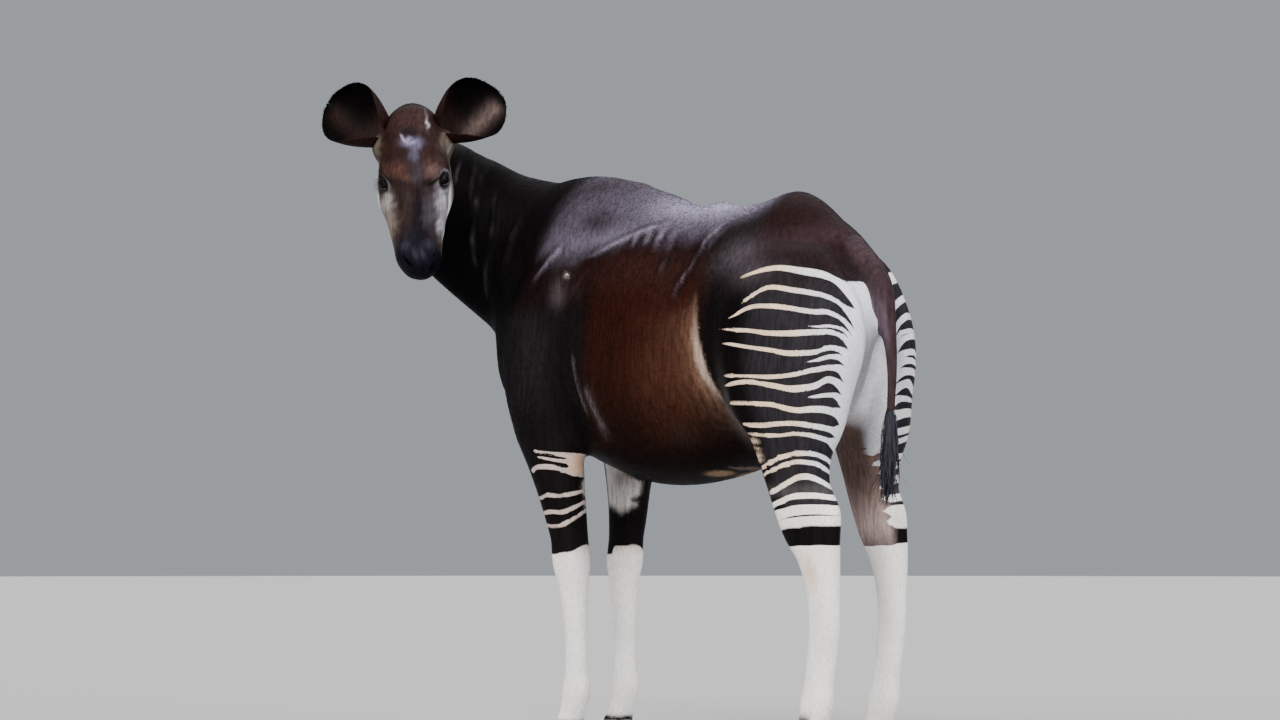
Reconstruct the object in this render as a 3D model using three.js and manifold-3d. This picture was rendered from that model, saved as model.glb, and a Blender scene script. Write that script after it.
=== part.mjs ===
// A life-size okapi cow, standing square and looking back over its left shoulder.
// Millimetres. +X is forward along the trunk, +Y is the animal's left, +Z is up; the hooves stand at 0.
import * as THREE from "three";
import { mergeVertices } from "three/addons/utils/BufferGeometryUtils.js";
import Module from "manifold-3d";

const wasm = await Module();
wasm.setup();
const { Manifold, Mesh: SolidMesh } = wasm;

// Driving dimensions
const WITHERS_HEIGHT = 1560; // ground to the top of the shoulders
const SCALE = WITHERS_HEIGHT / 1560; // every size below is given for a 1560 mm cow
const GAP = 0.3; // room kept between touching pieces
const HEAD_LENGTH = 520; // occiput to lips
const EYE_RADIUS = 25;
const LID_THICKNESS = 4.5;
const EAR_LENGTH = 216;
const EAR_THICKNESS = 5;
const HOOF_HEIGHT = 62;
const KNEE_CUT = 520; // height where the forearm ends and the lower foreleg begins
const HOCK_CUT = 610; // the same on the hind leg

// Materials
const paint = (color, roughness = 0.6) =>
  new THREE.MeshStandardMaterial({ color, roughness, metalness: 0 });
const COAT = paint(0x3a1f18, 0.55);
const NECK_COAT = paint(0x21151a, 0.5);
const FACE_COAT = paint(0x6b5648, 0.6);
const STRIPED_COAT = paint(0x8d8078, 0.6);
const STOCKING = paint(0xd9d2cb, 0.65);
const EAR_COAT = paint(0x2b1a17, 0.65);
const EYE_GLOSS = paint(0x120c0a, 0.1);
const HORN = paint(0x2c2623, 0.45);
const TAIL_HAIR = paint(0x17141a, 0.6);

// Helpers: numbers and vectors
const V = (x, y, z) => new THREE.Vector3(x, y, z);
const mix = (a, b, t) => a + (b - a) * t;
const clamp01 = (t) => Math.min(1, Math.max(0, t));
const power = (c, n) => Math.sign(c) * Math.abs(c) ** (2 / n);

// A reader of named stations: a cubic through the stations' values, with t from 0 to 1 by distance.
const FIELDS = ["x", "y", "z", "up", "down", "half", "roundUp", "roundDown"];
function stationReader(stations) {
  const rows = Object.values(stations).map((r) =>
    Object.fromEntries(FIELDS.map((f, i) => [f, (r[i] ?? 2) * (i < 6 ? SCALE : 1)])),
  );
  const at = [0];
  for (let i = 1; i < rows.length; i++) {
    const [a, b] = [rows[i - 1], rows[i]];
    at.push(at[i - 1] + Math.hypot(b.x - a.x, b.y - a.y, b.z - a.z));
  }
  const length = at[at.length - 1];
  const slope = (key, i) => {
    const lo = Math.max(0, i - 1);
    const hi = Math.min(rows.length - 1, i + 1);
    return (rows[hi][key] - rows[lo][key]) / (at[hi] - at[lo]);
  };
  const smooth = (key, t) => {
    const s = clamp01(t) * length;
    let i = at.findIndex((a) => a > s) - 1;
    if (i < 0) i = rows.length - 2;
    const span = at[i + 1] - at[i];
    const f = (s - at[i]) / span;
    const [p, q] = [rows[i][key], rows[i + 1][key]];
    const [m, n] = [slope(key, i) * span, slope(key, i + 1) * span];
    return (
      (2 * f ** 3 - 3 * f ** 2 + 1) * p +
      (f ** 3 - 2 * f ** 2 + f) * m +
      (3 * f ** 2 - 2 * f ** 3) * q +
      (f ** 3 - f ** 2) * n
    );
  };
  return { smooth, length };
}

// Helpers: solids
function solidOf(geometry) {
  const bare = new THREE.BufferGeometry();
  bare.setAttribute("position", geometry.getAttribute("position"));
  bare.setIndex(geometry.getIndex());
  const merged = mergeVertices(bare, 1e-3);
  return new Manifold(
    new SolidMesh({
      numProp: 3,
      vertProperties: merged.getAttribute("position").array,
      triVerts: new Uint32Array(merged.getIndex().array),
    }),
  );
}

// A sphere whose every vertex is moved by place(around 0..1, along 0..1); both ends close in a point.
function shaped(around, rows, place) {
  const ball = new THREE.SphereGeometry(1, around, rows);
  const position = ball.getAttribute("position");
  const uv = ball.getAttribute("uv");
  for (let i = 0; i < position.count; i++) {
    const along = 1 - uv.getY(i);
    const pole = along < 1e-6 || along > 1 - 1e-6;
    const p = place(pole ? 0 : uv.getX(i) % 1, along);
    position.setXYZ(i, p.x, p.y, p.z);
  }
  const made = solidOf(ball);
  return made.volume() < 0 ? turned(made) : made;
}

// The same solid with its faces turned round.
function turned(solid) {
  const mesh = solid.getMesh();
  const tri = mesh.triVerts;
  for (let i = 0; i < tri.length; i += 3) [tri[i + 1], tri[i + 2]] = [tri[i + 2], tri[i + 1]];
  return new Manifold(new SolidMesh({ numProp: 3, vertProperties: mesh.vertProperties, triVerts: tri }));
}

// A rounded tube through named stations. toward is the direction that a section's up side faces.
function loft(stations, { toward, around, rows, ends = [60, 60], grow = 0 }) {
  const { smooth, length } = stationReader(stations);
  const centre = (t) => V(smooth("x", t), smooth("y", t), smooth("z", t));
  return shaped(around, rows, (u, v) => {
    const t = v - (0.75 * Math.sin(2 * Math.PI * v)) / (2 * Math.PI); // rows lie closer at the ends
    const s = t * length;
    const fromEnd = [s / (ends[0] * SCALE), (length - s) / (ends[1] * SCALE)];
    const closing = fromEnd.reduce((k, e) => k * Math.sqrt(1 - (1 - Math.min(1, e)) ** 2), 1);
    const step = 0.01;
    const tangent = centre(Math.min(1, t + step)).sub(centre(Math.max(0, t - step))).normalize();
    const side = toward.clone().cross(tangent).normalize();
    const up = tangent.clone().cross(side);
    const angle = 2 * Math.PI * u;
    const [c, s2] = [Math.cos(angle), Math.sin(angle)];
    const n = s2 > 0 ? smooth("roundUp", t) : smooth("roundDown", t);
    const tall = (s2 > 0 ? smooth("up", t) : smooth("down", t)) + grow;
    return centre(t)
      .addScaledVector(side, closing * (smooth("half", t) + grow) * power(c, n))
      .addScaledVector(up, closing * tall * power(s2, n))
      .addScaledVector(tangent, grow * Math.sign(t - 0.5) * (closing < 1 ? 1 : 0));
  });
}

const ellipsoid = (centre, radii, frame = new THREE.Matrix4(), around = 20, rows = 14) =>
  shaped(around, rows, (u, v) =>
    V(
      radii.x * Math.cos(Math.PI * v),
      radii.y * Math.sin(Math.PI * v) * Math.cos(2 * Math.PI * u),
      radii.z * Math.sin(Math.PI * v) * Math.sin(2 * Math.PI * u),
    )
      .applyMatrix4(frame)
      .add(centre),
  );

// Everything beyond a plane, as a large box: keep what lies on the side that normal points to.
function beyond(point, normal) {
  const size = 4000;
  const box = new THREE.BoxGeometry(size, size, size).translate(size / 2, 0, 0);
  const turn = new THREE.Quaternion().setFromUnitVectors(V(1, 0, 0), normal.clone().normalize());
  return solidOf(box.applyQuaternion(turn).translate(point.x, point.y, point.z));
}
const largest = (solid) => solid.decompose().sort((a, b) => b.volume() - a.volume())[0];
const union = (...solids) => solids.reduce((a, b) => a.add(b));

// Trunk, from the buttocks to the breast. Columns: x y z up down half, squareness above and below.
const TRUNK = {
  buttock: [-698, 0, 1150, 115, 130, 62, 2, 2],
  tailHead: [-640, 0, 1152, 150, 200, 84, 1.8, 2],
  rump: [-572, 0, 1150, 249, 262, 134, 1.8, 2.1],
  croup: [-488, 0, 1138, 338, 291, 182, 1.75, 2.1],
  hipBones: [-352, 0, 1110, 346, 302, 218, 1.65, 2.1],
  loin: [-230, 0, 1075, 397, 306, 222, 1.7, 2.2],
  lastRib: [-90, 0, 1045, 421, 318, 250, 1.8, 2.2],
  barrel: [50, 0, 1040, 440, 326, 258, 1.8, 2.2],
  girth: [190, 0, 1060, 458, 312, 236, 1.7, 2.1],
  withers: [330, 0, 1090, 466, 290, 198, 1.6, 2.1],
  neckBase: [460, 0, 1115, 450, 270, 176, 1.7, 2],
  breast: [570, 0, 1120, 370, 240, 158, 2, 2],
  breastFront: [655, 0, 1125, 290, 195, 134, 2, 2],
  breastTip: [714, 0, 1135, 180, 125, 92, 2, 2],
};
const trunk = (grow = 0) =>
  loft(TRUNK, { toward: V(0, 0, 1), around: 26, rows: 26, ends: [80, 60], grow });

// Neck, from deep inside the shoulders, bending left to the back of the head.
const NECK = {
  root: [300, 0, 1250, 270, 250, 130, 1.9, 2],
  base: [450, 0, 1320, 246, 280, 138, 1.8, 2],
  lower: [600, 25, 1370, 212, 262, 124, 1.8, 2],
  middle: [720, 85, 1430, 188, 215, 108, 1.8, 2],
  upper: [790, 170, 1500, 178, 185, 98, 1.9, 2],
  throat: [812, 250, 1570, 156, 150, 90, 2, 2],
  nape: [806, 325, 1635, 110, 105, 80, 2, 2],
};
const neckLoft = () => loft(NECK, { toward: V(0, 0, 1), around: 24, rows: 20, ends: [60, 60] });

// Head frame: x runs from occiput to lips, y to the head's left, z out of the forehead.
const HEAD_AT = V(783, 337, 1765).multiplyScalar(SCALE);
const HEAD_HEADING = 138; // degrees to the left of the trunk's forward direction
const HEAD_PITCH = 68; // degrees that the muzzle points below level
const HEAD_TILT = 4; // degrees that the muzzle swings to the head's left
const turnTo = (degrees) => THREE.MathUtils.degToRad(degrees);
const headFrame = new THREE.Matrix4()
  .makeTranslation(HEAD_AT.x, HEAD_AT.y, HEAD_AT.z)
  .multiply(new THREE.Matrix4().makeRotationZ(turnTo(HEAD_HEADING)))
  .multiply(new THREE.Matrix4().makeRotationX(turnTo(HEAD_TILT)))
  .multiply(new THREE.Matrix4().makeRotationY(turnTo(HEAD_PITCH)))
  .multiply(new THREE.Matrix4().makeScale(SCALE, SCALE, SCALE));
const inHead = (solid) => solid.transform(headFrame.toArray());

const SKULL = {
  occiput: [-15, 0, 10, 45, 55, 48, 2, 2],
  poll: [40, 0, 5, 72, 85, 72, 2.2, 2],
  earBase: [95, 0, 0, 86, 112, 86, 2.3, 2],
  brow: [160, 0, 0, 90, 124, 99, 2.5, 2.1],
  eyes: [225, 0, 2, 82, 124, 101, 2.5, 2.1],
  cheek: [285, 0, -4, 72, 110, 99, 2.4, 2.2],
  nose: [345, 0, -10, 63, 84, 85, 2.3, 2.3],
  muzzle: [400, 0, -14, 57, 60, 71, 2.4, 2.3],
  nostrils: [452, 3, -14, 52, 47, 61, 2.4, 2.3],
  lips: [492, 11, -16, 40, 38, 44, 2.3, 2.3],
  lipTip: [516, 16, -18, 25, 24, 25, 2.3, 2.3],
};
const skull = (grow = 0, around = 26, rows = 26) =>
  loft(SKULL, { toward: V(0, 0, 1), around, rows, ends: [50, 26], grow });

// Ear: a broad leaf rolled into a funnel at its root. side is 1 on the left and -1 on the right.
const EAR_ROOT = V(84, 75, 14);
const EAR_POINTS = { left: V(-0.56, 0.81, -0.14), right: V(-0.66, 0.73, -0.18) };
function ear(side) {
  const axis = (side > 0 ? EAR_POINTS.left : EAR_POINTS.right).clone().normalize();
  const back = V(-0.3, -0.1, -0.94);
  const across = axis.clone().cross(back).normalize();
  const behind = across.clone().cross(axis).normalize();
  const leaf = (u) => 38 + 56 * Math.sin(Math.PI * Math.min(1, u * 0.92)) ** 0.85;
  return shaped(20, 12, (turn, v) => {
    const u = v;
    const tip = Math.sqrt(1 - clamp01((u - 0.5) / 0.5) ** 2.3);
    const root = Math.sqrt(1 - (1 - clamp01(u / 0.06)) ** 2);
    const open = turnTo(mix(150, 68, clamp01(u / 0.55) ** 0.8));
    const half = leaf(u) * tip * root;
    const radius = half / Math.sin(Math.min(open, Math.PI / 2));
    const outer = turn < 0.5;
    const sweep = outer ? 1 - 4 * turn : 4 * turn - 3;
    const rim = 1 - 0.55 * Math.abs(sweep) ** 6;
    const reach = outer ? radius : Math.max(0, radius - EAR_THICKNESS * rim * root * Math.max(0.25, tip));
    const angle = sweep * open;
    const drop = 22 * u * u;
    const p = EAR_ROOT.clone()
      .addScaledVector(axis, EAR_LENGTH * u)
      .addScaledVector(behind, reach * Math.cos(angle) - radius + 24 - drop)
      .addScaledVector(across, reach * Math.sin(angle));
    return V(p.x, p.y * side, p.z);
  });
}

// Eye: its centre in the head frame and the way it looks.
const EYE_AT = V(244, 72, 37);
const EYE_LOOK = V(0.26, 0.74, 0.6).normalize();
function eyeFrame(side) {
  const look = V(EYE_LOOK.x, EYE_LOOK.y * side, EYE_LOOK.z);
  const along = V(1, -0.5 * side, 0.15).projectOnPlane(look).normalize(); // rear corner to front corner
  const top = look.clone().cross(along).multiplyScalar(side);
  return new THREE.Matrix4()
    .makeBasis(along, top, look)
    .setPosition(EYE_AT.x, EYE_AT.y * side, EYE_AT.z);
}
const eyeball = (side, radius) => {
  const c = V(EYE_AT.x, EYE_AT.y * side, EYE_AT.z);
  return ellipsoid(c, V(radius, radius, radius), undefined, 18, 11);
};
// The lids' almond opening, as a prism along the eye's look.
function almond(side) {
  const shape = new THREE.Shape();
  const [reach, high, low] = [24, 17, 13];
  shape.moveTo(-reach, 0);
  shape.quadraticCurveTo(-2, high * 1.7, reach, -3);
  shape.quadraticCurveTo(0, -low * 1.7, -reach, 0);
  const prism = new THREE.ExtrudeGeometry(shape, { depth: 60, bevelEnabled: false, curveSegments: 6 });
  const made = solidOf(prism.applyMatrix4(eyeFrame(side)));
  return made.volume() < 0 ? turned(made) : made;
}

// The fur-covered swelling from which an ear grows
const earBase = (side, grow = 0) =>
  ellipsoid(V(108, 82 * side, -6), V(42 + grow, 33 + grow, 36 + grow), undefined, 14, 10);
const earBases = (grow = 0) => union(earBase(1, grow), earBase(-1, grow));

function headSolid() {
  let head = skull().add(earBases());
  const lids = [];
  for (const side of [1, -1]) {
    const shell = eyeball(side, EYE_RADIUS + LID_THICKNESS);
    lids.push(shell);
    head = head.add(shell);
  }
  for (const side of [1, -1]) {
    head = head.subtract(eyeball(side, EYE_RADIUS + GAP)).subtract(almond(side));
  }
  // Mouth line: a thin slab, 7 mm deep, from the lips back to the corner of the mouth
  const slab = new THREE.BoxGeometry(130, 200, 2.4).rotateY(0.1).translate(HEAD_LENGTH - 52, 0, -34);
  const core = skull(-7, 18, 18);
  head = head.subtract(solidOf(slab).subtract(core));
  // Nostrils: slanting hollows on the muzzle's front
  for (const side of [1, -1]) {
    const tilt = new THREE.Matrix4().makeRotationFromEuler(new THREE.Euler(0, 0.5, -0.7 * side));
    head = head.subtract(ellipsoid(V(486, 33 * side + 10, 12), V(17, 6, 7), tilt, 12, 8));
  }
  return largest(head);
}

// Legs. Columns: x y z, then how far the section reaches forward, back and sideways.
const FORELEG = {
  blade: [345, 112, 1380, 60, 70, 44, 2, 2],
  shoulder: [440, 128, 1200, 110, 120, 80, 2, 2],
  upperArm: [462, 140, 1060, 115, 140, 86, 2, 2],
  elbow: [425, 148, 900, 104, 118, 78, 2, 2],
  forearm: [392, 146, 780, 84, 88, 64, 2, 2],
  foreleg: [366, 143, 670, 68, 66, 54, 2, 2],
  aboveKnee: [350, 140, 580, 57, 54, 48, 2.2, 2],
  knee: [342, 139, 505, 54, 47, 47, 2.4, 2.2],
  belowKnee: [338, 138, 430, 42, 42, 38, 2.2, 2],
  cannon: [336, 137, 330, 34, 38, 31, 2, 2],
  lowCannon: [334, 136, 220, 34, 38, 31, 2, 2],
  fetlock: [334, 136, 165, 39, 45, 38, 2, 2],
  pastern: [348, 136, 105, 35, 37, 36, 2, 2],
  coronet: [362, 136, 62, 42, 38, 43, 2, 2],
  hoofHeart: [367, 136, 30, 40, 36, 38, 2, 2],
};
const HINDLEG = {
  hip: [-450, 116, 1322, 90, 84, 50, 2, 2],
  thigh: [-492, 126, 1210, 155, 166, 82, 2, 2],
  buttock: [-514, 131, 1090, 195, 214, 96, 2, 2],
  stifle: [-528, 143, 965, 190, 194, 98, 2, 2],
  gaskinTop: [-550, 154, 860, 148, 148, 82, 2, 2],
  gaskin: [-557, 160, 770, 106, 102, 66, 2, 2],
  aboveHock: [-572, 161, 690, 86, 88, 55, 2, 2],
  hock: [-604, 161, 610, 80, 92, 51, 2, 2.2],
  underHock: [-636, 161, 530, 60, 60, 45, 2, 2.2],
  cannon: [-652, 160, 430, 46, 46, 37, 2, 2],
  midCannon: [-652, 159, 340, 43, 44, 34, 2, 2],
  lowCannon: [-634, 158, 225, 41, 43, 34, 2, 2],
  fetlock: [-624, 158, 165, 44, 48, 39, 2, 2],
  pastern: [-606, 158, 105, 38, 40, 37, 2, 2],
  coronet: [-590, 158, 62, 44, 38, 44, 2, 2],
  hoofHeart: [-585, 158, 30, 42, 36, 38, 2, 2],
};
// stride moves the foot of a leg forward; the leg above it follows less and less up to still.
const LEGS = {
  left_foreleg: { stations: FORELEG, side: 1, stride: -18, still: 900, cut: KNEE_CUT },
  right_foreleg: { stations: FORELEG, side: -1, stride: 88, still: 900, cut: KNEE_CUT },
  left_hindleg: { stations: HINDLEG, side: 1, stride: 0, still: 1450, cut: HOCK_CUT },
  right_hindleg: { stations: HINDLEG, side: -1, stride: 72, still: 1450, cut: HOCK_CUT },
};
const TOE_OUT = 10; // degrees that the feet turn outward

function legStations({ stations, side, stride, still }) {
  const moved = ([x, y, z, ...rest]) => {
    const follow = clamp01((still - z) / (still - 480));
    return [x + stride * follow, y * side, z, ...rest];
  };
  return Object.fromEntries(Object.entries(stations).map(([k, row]) => [k, moved(row)]));
}
const leg = (plan, grow = 0) => {
  const toward = V(1, plan.side * Math.tan(turnTo(TOE_OUT)), 0);
  return loft(legStations(plan), { toward, around: 16, rows: 28, ends: [70, 12], grow });
};

// Hoof: one of a pair, a low wedge with a flat sole.
function hoof(plan, inner) {
  const rows = legStations(plan);
  const [x, y] = rows.coronet;
  return shaped(12, 8, (u, v) => {
    const level = clamp01((v - 1 / 8) / (6 / 8));
    const centre = v < 0.01 || v > 0.99; // the middle of the sole and of the top
    const spread = centre ? 0 : mix(1, 0.78, level);
    const angle = 2 * Math.PI * u;
    const long = Math.cos(angle) > 0 ? mix(74, 44, level) : 38;
    const flat = V(spread * long * power(Math.cos(angle), 2.2), spread * 21 * power(Math.sin(angle), 2.3), 0)
      .add(V(6, inner * 22.5, 0))
      .applyAxisAngle(V(0, 0, 1), turnTo(TOE_OUT) * plan.side);
    return V(x + flat.x, y + flat.y, HOOF_HEIGHT * level).multiplyScalar(SCALE);
  });
}

// Tail: a thick root that thins to a stem, then a tuft of locks.
const TAIL = {
  root: [-515, 0, 1322, 30, 55, 44, 2, 2],
  head: [-580, 0, 1304, 38, 54, 48, 2, 2],
  bend: [-645, 0, 1260, 36, 46, 43, 2, 2],
  upper: [-690, 0, 1205, 32, 36, 36, 2, 2],
  middle: [-724, 0, 1112, 20, 21, 22, 2, 2],
  lower: [-737, 0, 1000, 14, 14, 14, 2, 2],
  tip: [-732, 0, 890, 11, 11, 11, 2, 2],
};
const tail = (grow = 0) =>
  loft(TAIL, { toward: V(-1, 0, 0), around: 12, rows: 18, ends: [20, 8], grow });

// The tuft's heart is a spindle; flat tapered locks leave it all round and hang to different lengths.
const TUFT_TOP = V(-731, 0, 905);
const TUFT_LENGTH = 270;
const LOCKS = 18;
const spindle = (v) => 17 * Math.sin(Math.PI * Math.min(1, v * 1.02)) ** 0.6;
const onTuft = (x, y, v) => V(TUFT_TOP.x + x + 20 * v * v, TUFT_TOP.y + y, TUFT_TOP.z - TUFT_LENGTH * v);
function tuft() {
  const heart = shaped(10, 9, (u, v) => {
    const angle = 2 * Math.PI * u;
    const w = spindle(v);
    return onTuft(w * Math.cos(angle), w * Math.sin(angle), v * 0.8).multiplyScalar(SCALE);
  });
  const locks = Array.from({ length: LOCKS }, (_, i) => {
    const bearing = i * 2.4;
    const start = 0.06 + 0.42 * ((i * 0.618) % 1);
    const end = Math.min(1, start + 0.42 + 0.2 * ((i * 0.382) % 1));
    const lift = 7 + 6 * ((i * 0.71) % 1);
    return shaped(4, 6, (u, v) => {
      const at = mix(start, end, v);
      const out = spindle(at * 1.2) - 8 + lift * Math.sin(Math.PI * Math.min(1, v * 1.15));
      const width = 11 * Math.sin(Math.PI * v ** 0.7) ** 0.8;
      const across = width * Math.cos(2 * Math.PI * u);
      const thick = 4 * Math.sin(2 * Math.PI * u) * Math.sin(Math.PI * v ** 0.7) ** 0.8;
      const x = (out + thick) * Math.cos(bearing) - across * Math.sin(bearing);
      const y = (out + thick) * Math.sin(bearing) + across * Math.cos(bearing);
      return onTuft(x, y, at).multiplyScalar(SCALE);
    });
  });
  return union(heart, ...locks);
}

// Parting the flesh into nodes
const head = inHead(headSolid());
const headRoom = inHead(skull(GAP / SCALE).add(earBases(GAP / SCALE)));
const ears = { left_ear: 1, right_ear: -1 };
const legSolids = Object.entries(LEGS).map(([name, plan]) => [name, plan, leg(plan)]);

const neckPlane = { at: V(455, 0, 1330).multiplyScalar(SCALE), normal: V(0.86, 0.1, 0.5) };
const legRoom = union(...Object.values(LEGS).map((plan) => leg(plan, GAP)));
const front = union(trunk(), neckLoft());
const ahead = neckPlane.at.clone().addScaledVector(neckPlane.normal.clone().normalize(), GAP);
const neckAlone = front.intersect(beyond(ahead, neckPlane.normal)).subtract(headRoom).subtract(legRoom);
const neckSolid = largest(neckAlone);
const behindNeck = beyond(neckPlane.at, neckPlane.normal.clone().negate());
const tailSolid = tail();
const tailRoom = tail(GAP);
const torsoSolid = largest(front.intersect(behindNeck).subtract(legRoom).subtract(tailRoom));

// The finished model
const okapi = new THREE.Group();
function addNode(name, solid, material) {
  const mesh = solid.getMesh();
  const geometry = new THREE.BufferGeometry();
  geometry.setAttribute("position", new THREE.BufferAttribute(mesh.vertProperties, 3));
  geometry.setIndex(new THREE.BufferAttribute(mesh.triVerts, 1));
  geometry.computeVertexNormals();
  const node = new THREE.Mesh(geometry, material);
  node.name = name;
  okapi.add(node);
}

addNode("torso", torsoSolid, COAT);
addNode("neck", neckSolid, NECK_COAT);
addNode("head", head, FACE_COAT);
for (const [name, side] of Object.entries(ears)) {
  addNode(name, largest(inHead(ear(side)).subtract(headRoom)), EAR_COAT);
}
for (const [name, side] of Object.entries({ left_eye: 1, right_eye: -1 })) {
  addNode(name, inHead(eyeball(side, EYE_RADIUS)), EYE_GLOSS);
}
for (const [name, plan, solid] of legSolids) {
  const level = plan.cut * SCALE;
  const upper = solid.intersect(beyond(V(0, 0, level + GAP), V(0, 0, 1))).subtract(tailRoom);
  const lower = solid.intersect(beyond(V(0, 0, level), V(0, 0, -1)));
  const onHooves = beyond(V(0, 0, (HOOF_HEIGHT + GAP) * SCALE), V(0, 0, 1));
  addNode(`${name}_upper`, largest(upper), STRIPED_COAT);
  addNode(`${name}_lower`, largest(lower.intersect(onHooves)), STOCKING);
  for (const [which, inner] of Object.entries({ inner: -plan.side, outer: plan.side })) {
    addNode(`${name}_hoof_${which}`, hoof(plan, inner), HORN);
  }
}
addNode("tail", largest(tailSolid), COAT);
addNode("tail_tuft", largest(tuft().subtract(tailRoom)), TAIL_HAIR);

// The origin lies on the ground under the middle of the whole model.
const box = new THREE.Box3().setFromObject(okapi);
const middle = box.getCenter(new THREE.Vector3());
for (const node of okapi.children) node.geometry.translate(-middle.x, -middle.y, 0);

export default okapi;
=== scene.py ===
# A life-size okapi cow that stands square and looks back over its left shoulder.
import math
import bpy
import bmesh
import numpy as np
from mathutils import Matrix


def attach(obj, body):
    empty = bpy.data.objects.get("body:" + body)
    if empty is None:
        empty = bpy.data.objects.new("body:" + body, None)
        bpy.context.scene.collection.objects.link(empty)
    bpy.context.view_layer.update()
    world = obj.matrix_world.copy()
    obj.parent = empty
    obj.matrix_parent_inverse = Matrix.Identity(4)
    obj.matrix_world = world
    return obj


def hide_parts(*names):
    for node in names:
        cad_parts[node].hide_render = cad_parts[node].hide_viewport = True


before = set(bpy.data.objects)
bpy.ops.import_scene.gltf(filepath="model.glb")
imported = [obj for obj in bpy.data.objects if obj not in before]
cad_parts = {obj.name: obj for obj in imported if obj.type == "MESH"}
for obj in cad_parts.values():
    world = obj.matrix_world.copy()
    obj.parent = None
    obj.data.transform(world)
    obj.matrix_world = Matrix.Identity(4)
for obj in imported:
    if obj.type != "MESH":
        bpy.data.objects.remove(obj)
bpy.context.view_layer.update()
middle = np.array((0.11181, 0.138133, 0.0))  # the frame's origin, seen from the body's own frame
luck = np.random.default_rng(7)
asGiven, mirrored, both = (1,), (-1,), (1, -1)  # sides: 1 is the animal's left and -1 its right


def unit(v):
    return v / np.maximum(np.linalg.norm(v, axis=-1, keepdims=True), 1e-12)


def dot(a, b):
    return (a * b).sum(-1)


def ease(x, low, high):  # 0 below low, 1 above high, smooth between
    t = np.clip((x - low) / (high - low), 0, 1)
    return t * t * (3 - 2 * t)


def hill(x, centre, width):  # a bell of height 1
    return np.exp(-((x - centre) / width) ** 2)


def spread(p, centre, radii, power=2.0):  # a soft ellipsoid of height 1, flatter the higher the power
    d = (((p - np.asarray(centre, float)) / np.asarray(radii, float)) ** 2).sum(1)
    return np.exp(-(d ** (power / 2)))


def blend(a, b, t):
    return a + (b - a) * np.asarray(t)[..., None]


def makeMesh(name, points, faces):
    # Points are in the body's own frame and the mesh gets them in the frame of the CAD. All faces have
    # the same number of corners.
    mesh = bpy.data.meshes.new(name)
    count, corners = faces.shape
    mesh.vertices.add(len(points))
    mesh.vertices.foreach_set("co", (points - middle).astype(np.float32).ravel())
    mesh.loops.add(count * corners)
    mesh.loops.foreach_set("vertex_index", faces.astype(np.int32).ravel())
    mesh.polygons.add(count)
    mesh.polygons.foreach_set("loop_start", np.arange(0, count * corners, corners, dtype=np.int32))
    mesh.polygons.foreach_set("use_smooth", np.ones(count, bool))
    mesh.update(calc_edges=True)
    return mesh


def onSide(place, side):  # a place given on the left, on the given side
    return np.array(place) * (1, side, 1)


def toLeft(p):  # points of the right side mirrored to the left
    return np.stack([p[:, 0], np.abs(p[:, 1]), p[:, 2]], 1)


def pointsOf(mesh):
    flat = np.empty(len(mesh.vertices) * 3, np.float32)
    mesh.vertices.foreach_get("co", flat)
    return flat.reshape(-1, 3).astype(float) + middle


def putPoints(mesh, points):
    mesh.vertices.foreach_set("co", (points - middle).astype(np.float32).ravel())
    mesh.update()


def normalsOf(mesh):
    flat = np.empty(len(mesh.vertices) * 3, np.float32)
    mesh.vertex_normals.foreach_get("vector", flat)
    return flat.reshape(-1, 3).astype(float)


def writeFloat(mesh, name, values):
    layer = mesh.attributes.new(name, "FLOAT", "POINT")
    layer.data.foreach_set("value", np.ascontiguousarray(values, np.float32))


def writeColour(mesh, name, values):
    layer = mesh.attributes.new(name, "FLOAT_COLOR", "POINT")
    full = np.ones((len(values), 4), np.float32)
    full[:, :3] = values
    layer.data.foreach_set("color", full.ravel())


def gridFaces(rows, columns, closed=True):
    # the four-cornered faces between points that lie row by row; closed joins the last column to the first
    i, j = np.meshgrid(np.arange(rows - 1), np.arange(columns if closed else columns - 1), indexing="ij")
    nxt = (j + 1) % columns
    ring = [i * columns + j, i * columns + nxt, (i + 1) * columns + nxt, (i + 1) * columns + j]
    return np.stack(ring, -1).reshape(-1, 4)


def roundTurns(count):  # angles once round
    return np.linspace(0, 2 * math.pi, count, endpoint=False)


def addObject(data, matrix=None):
    thing = bpy.data.objects.new(data.name, data)
    if matrix is not None:
        thing.matrix_world = Matrix(matrix.tolist())
    bpy.context.scene.collection.objects.link(thing)
    return thing


def addPiece(mesh, material, nodes=()):
    piece = addObject(mesh)
    mesh.materials.append(material)
    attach(piece, "root")
    if nodes:
        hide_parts(*nodes)


def newMaterial(name, colour, roughness=0.6, specular=0.5):
    made = bpy.data.materials.new(name)
    made.use_nodes = True
    shader = made.node_tree.nodes["Principled BSDF"]
    shader.inputs["Base Color"].default_value = (*colour, 1)
    shader.inputs["Roughness"].default_value = roughness
    shader.inputs["Specular IOR Level"].default_value = specular
    return made, made.node_tree, shader


def placeOf(right, above, behind, at):
    place = np.eye(4)
    place[:3] = np.column_stack([right, above, behind, at])
    return place


photoView = {
    "picture": (1280, 720),
    "bearing": 48.0,  # degrees from the animal's right side round to its tail
    "distance": 9.0,
    "height": 0.57,
    "centreColumn": 692.0,  # pixel column of the body frame's origin
    "horizonRow": 540.0,
    "focalPixels": 3375.0,
    "sensorWidth": 36.0,
    "farClip": 200.0,
}


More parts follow.
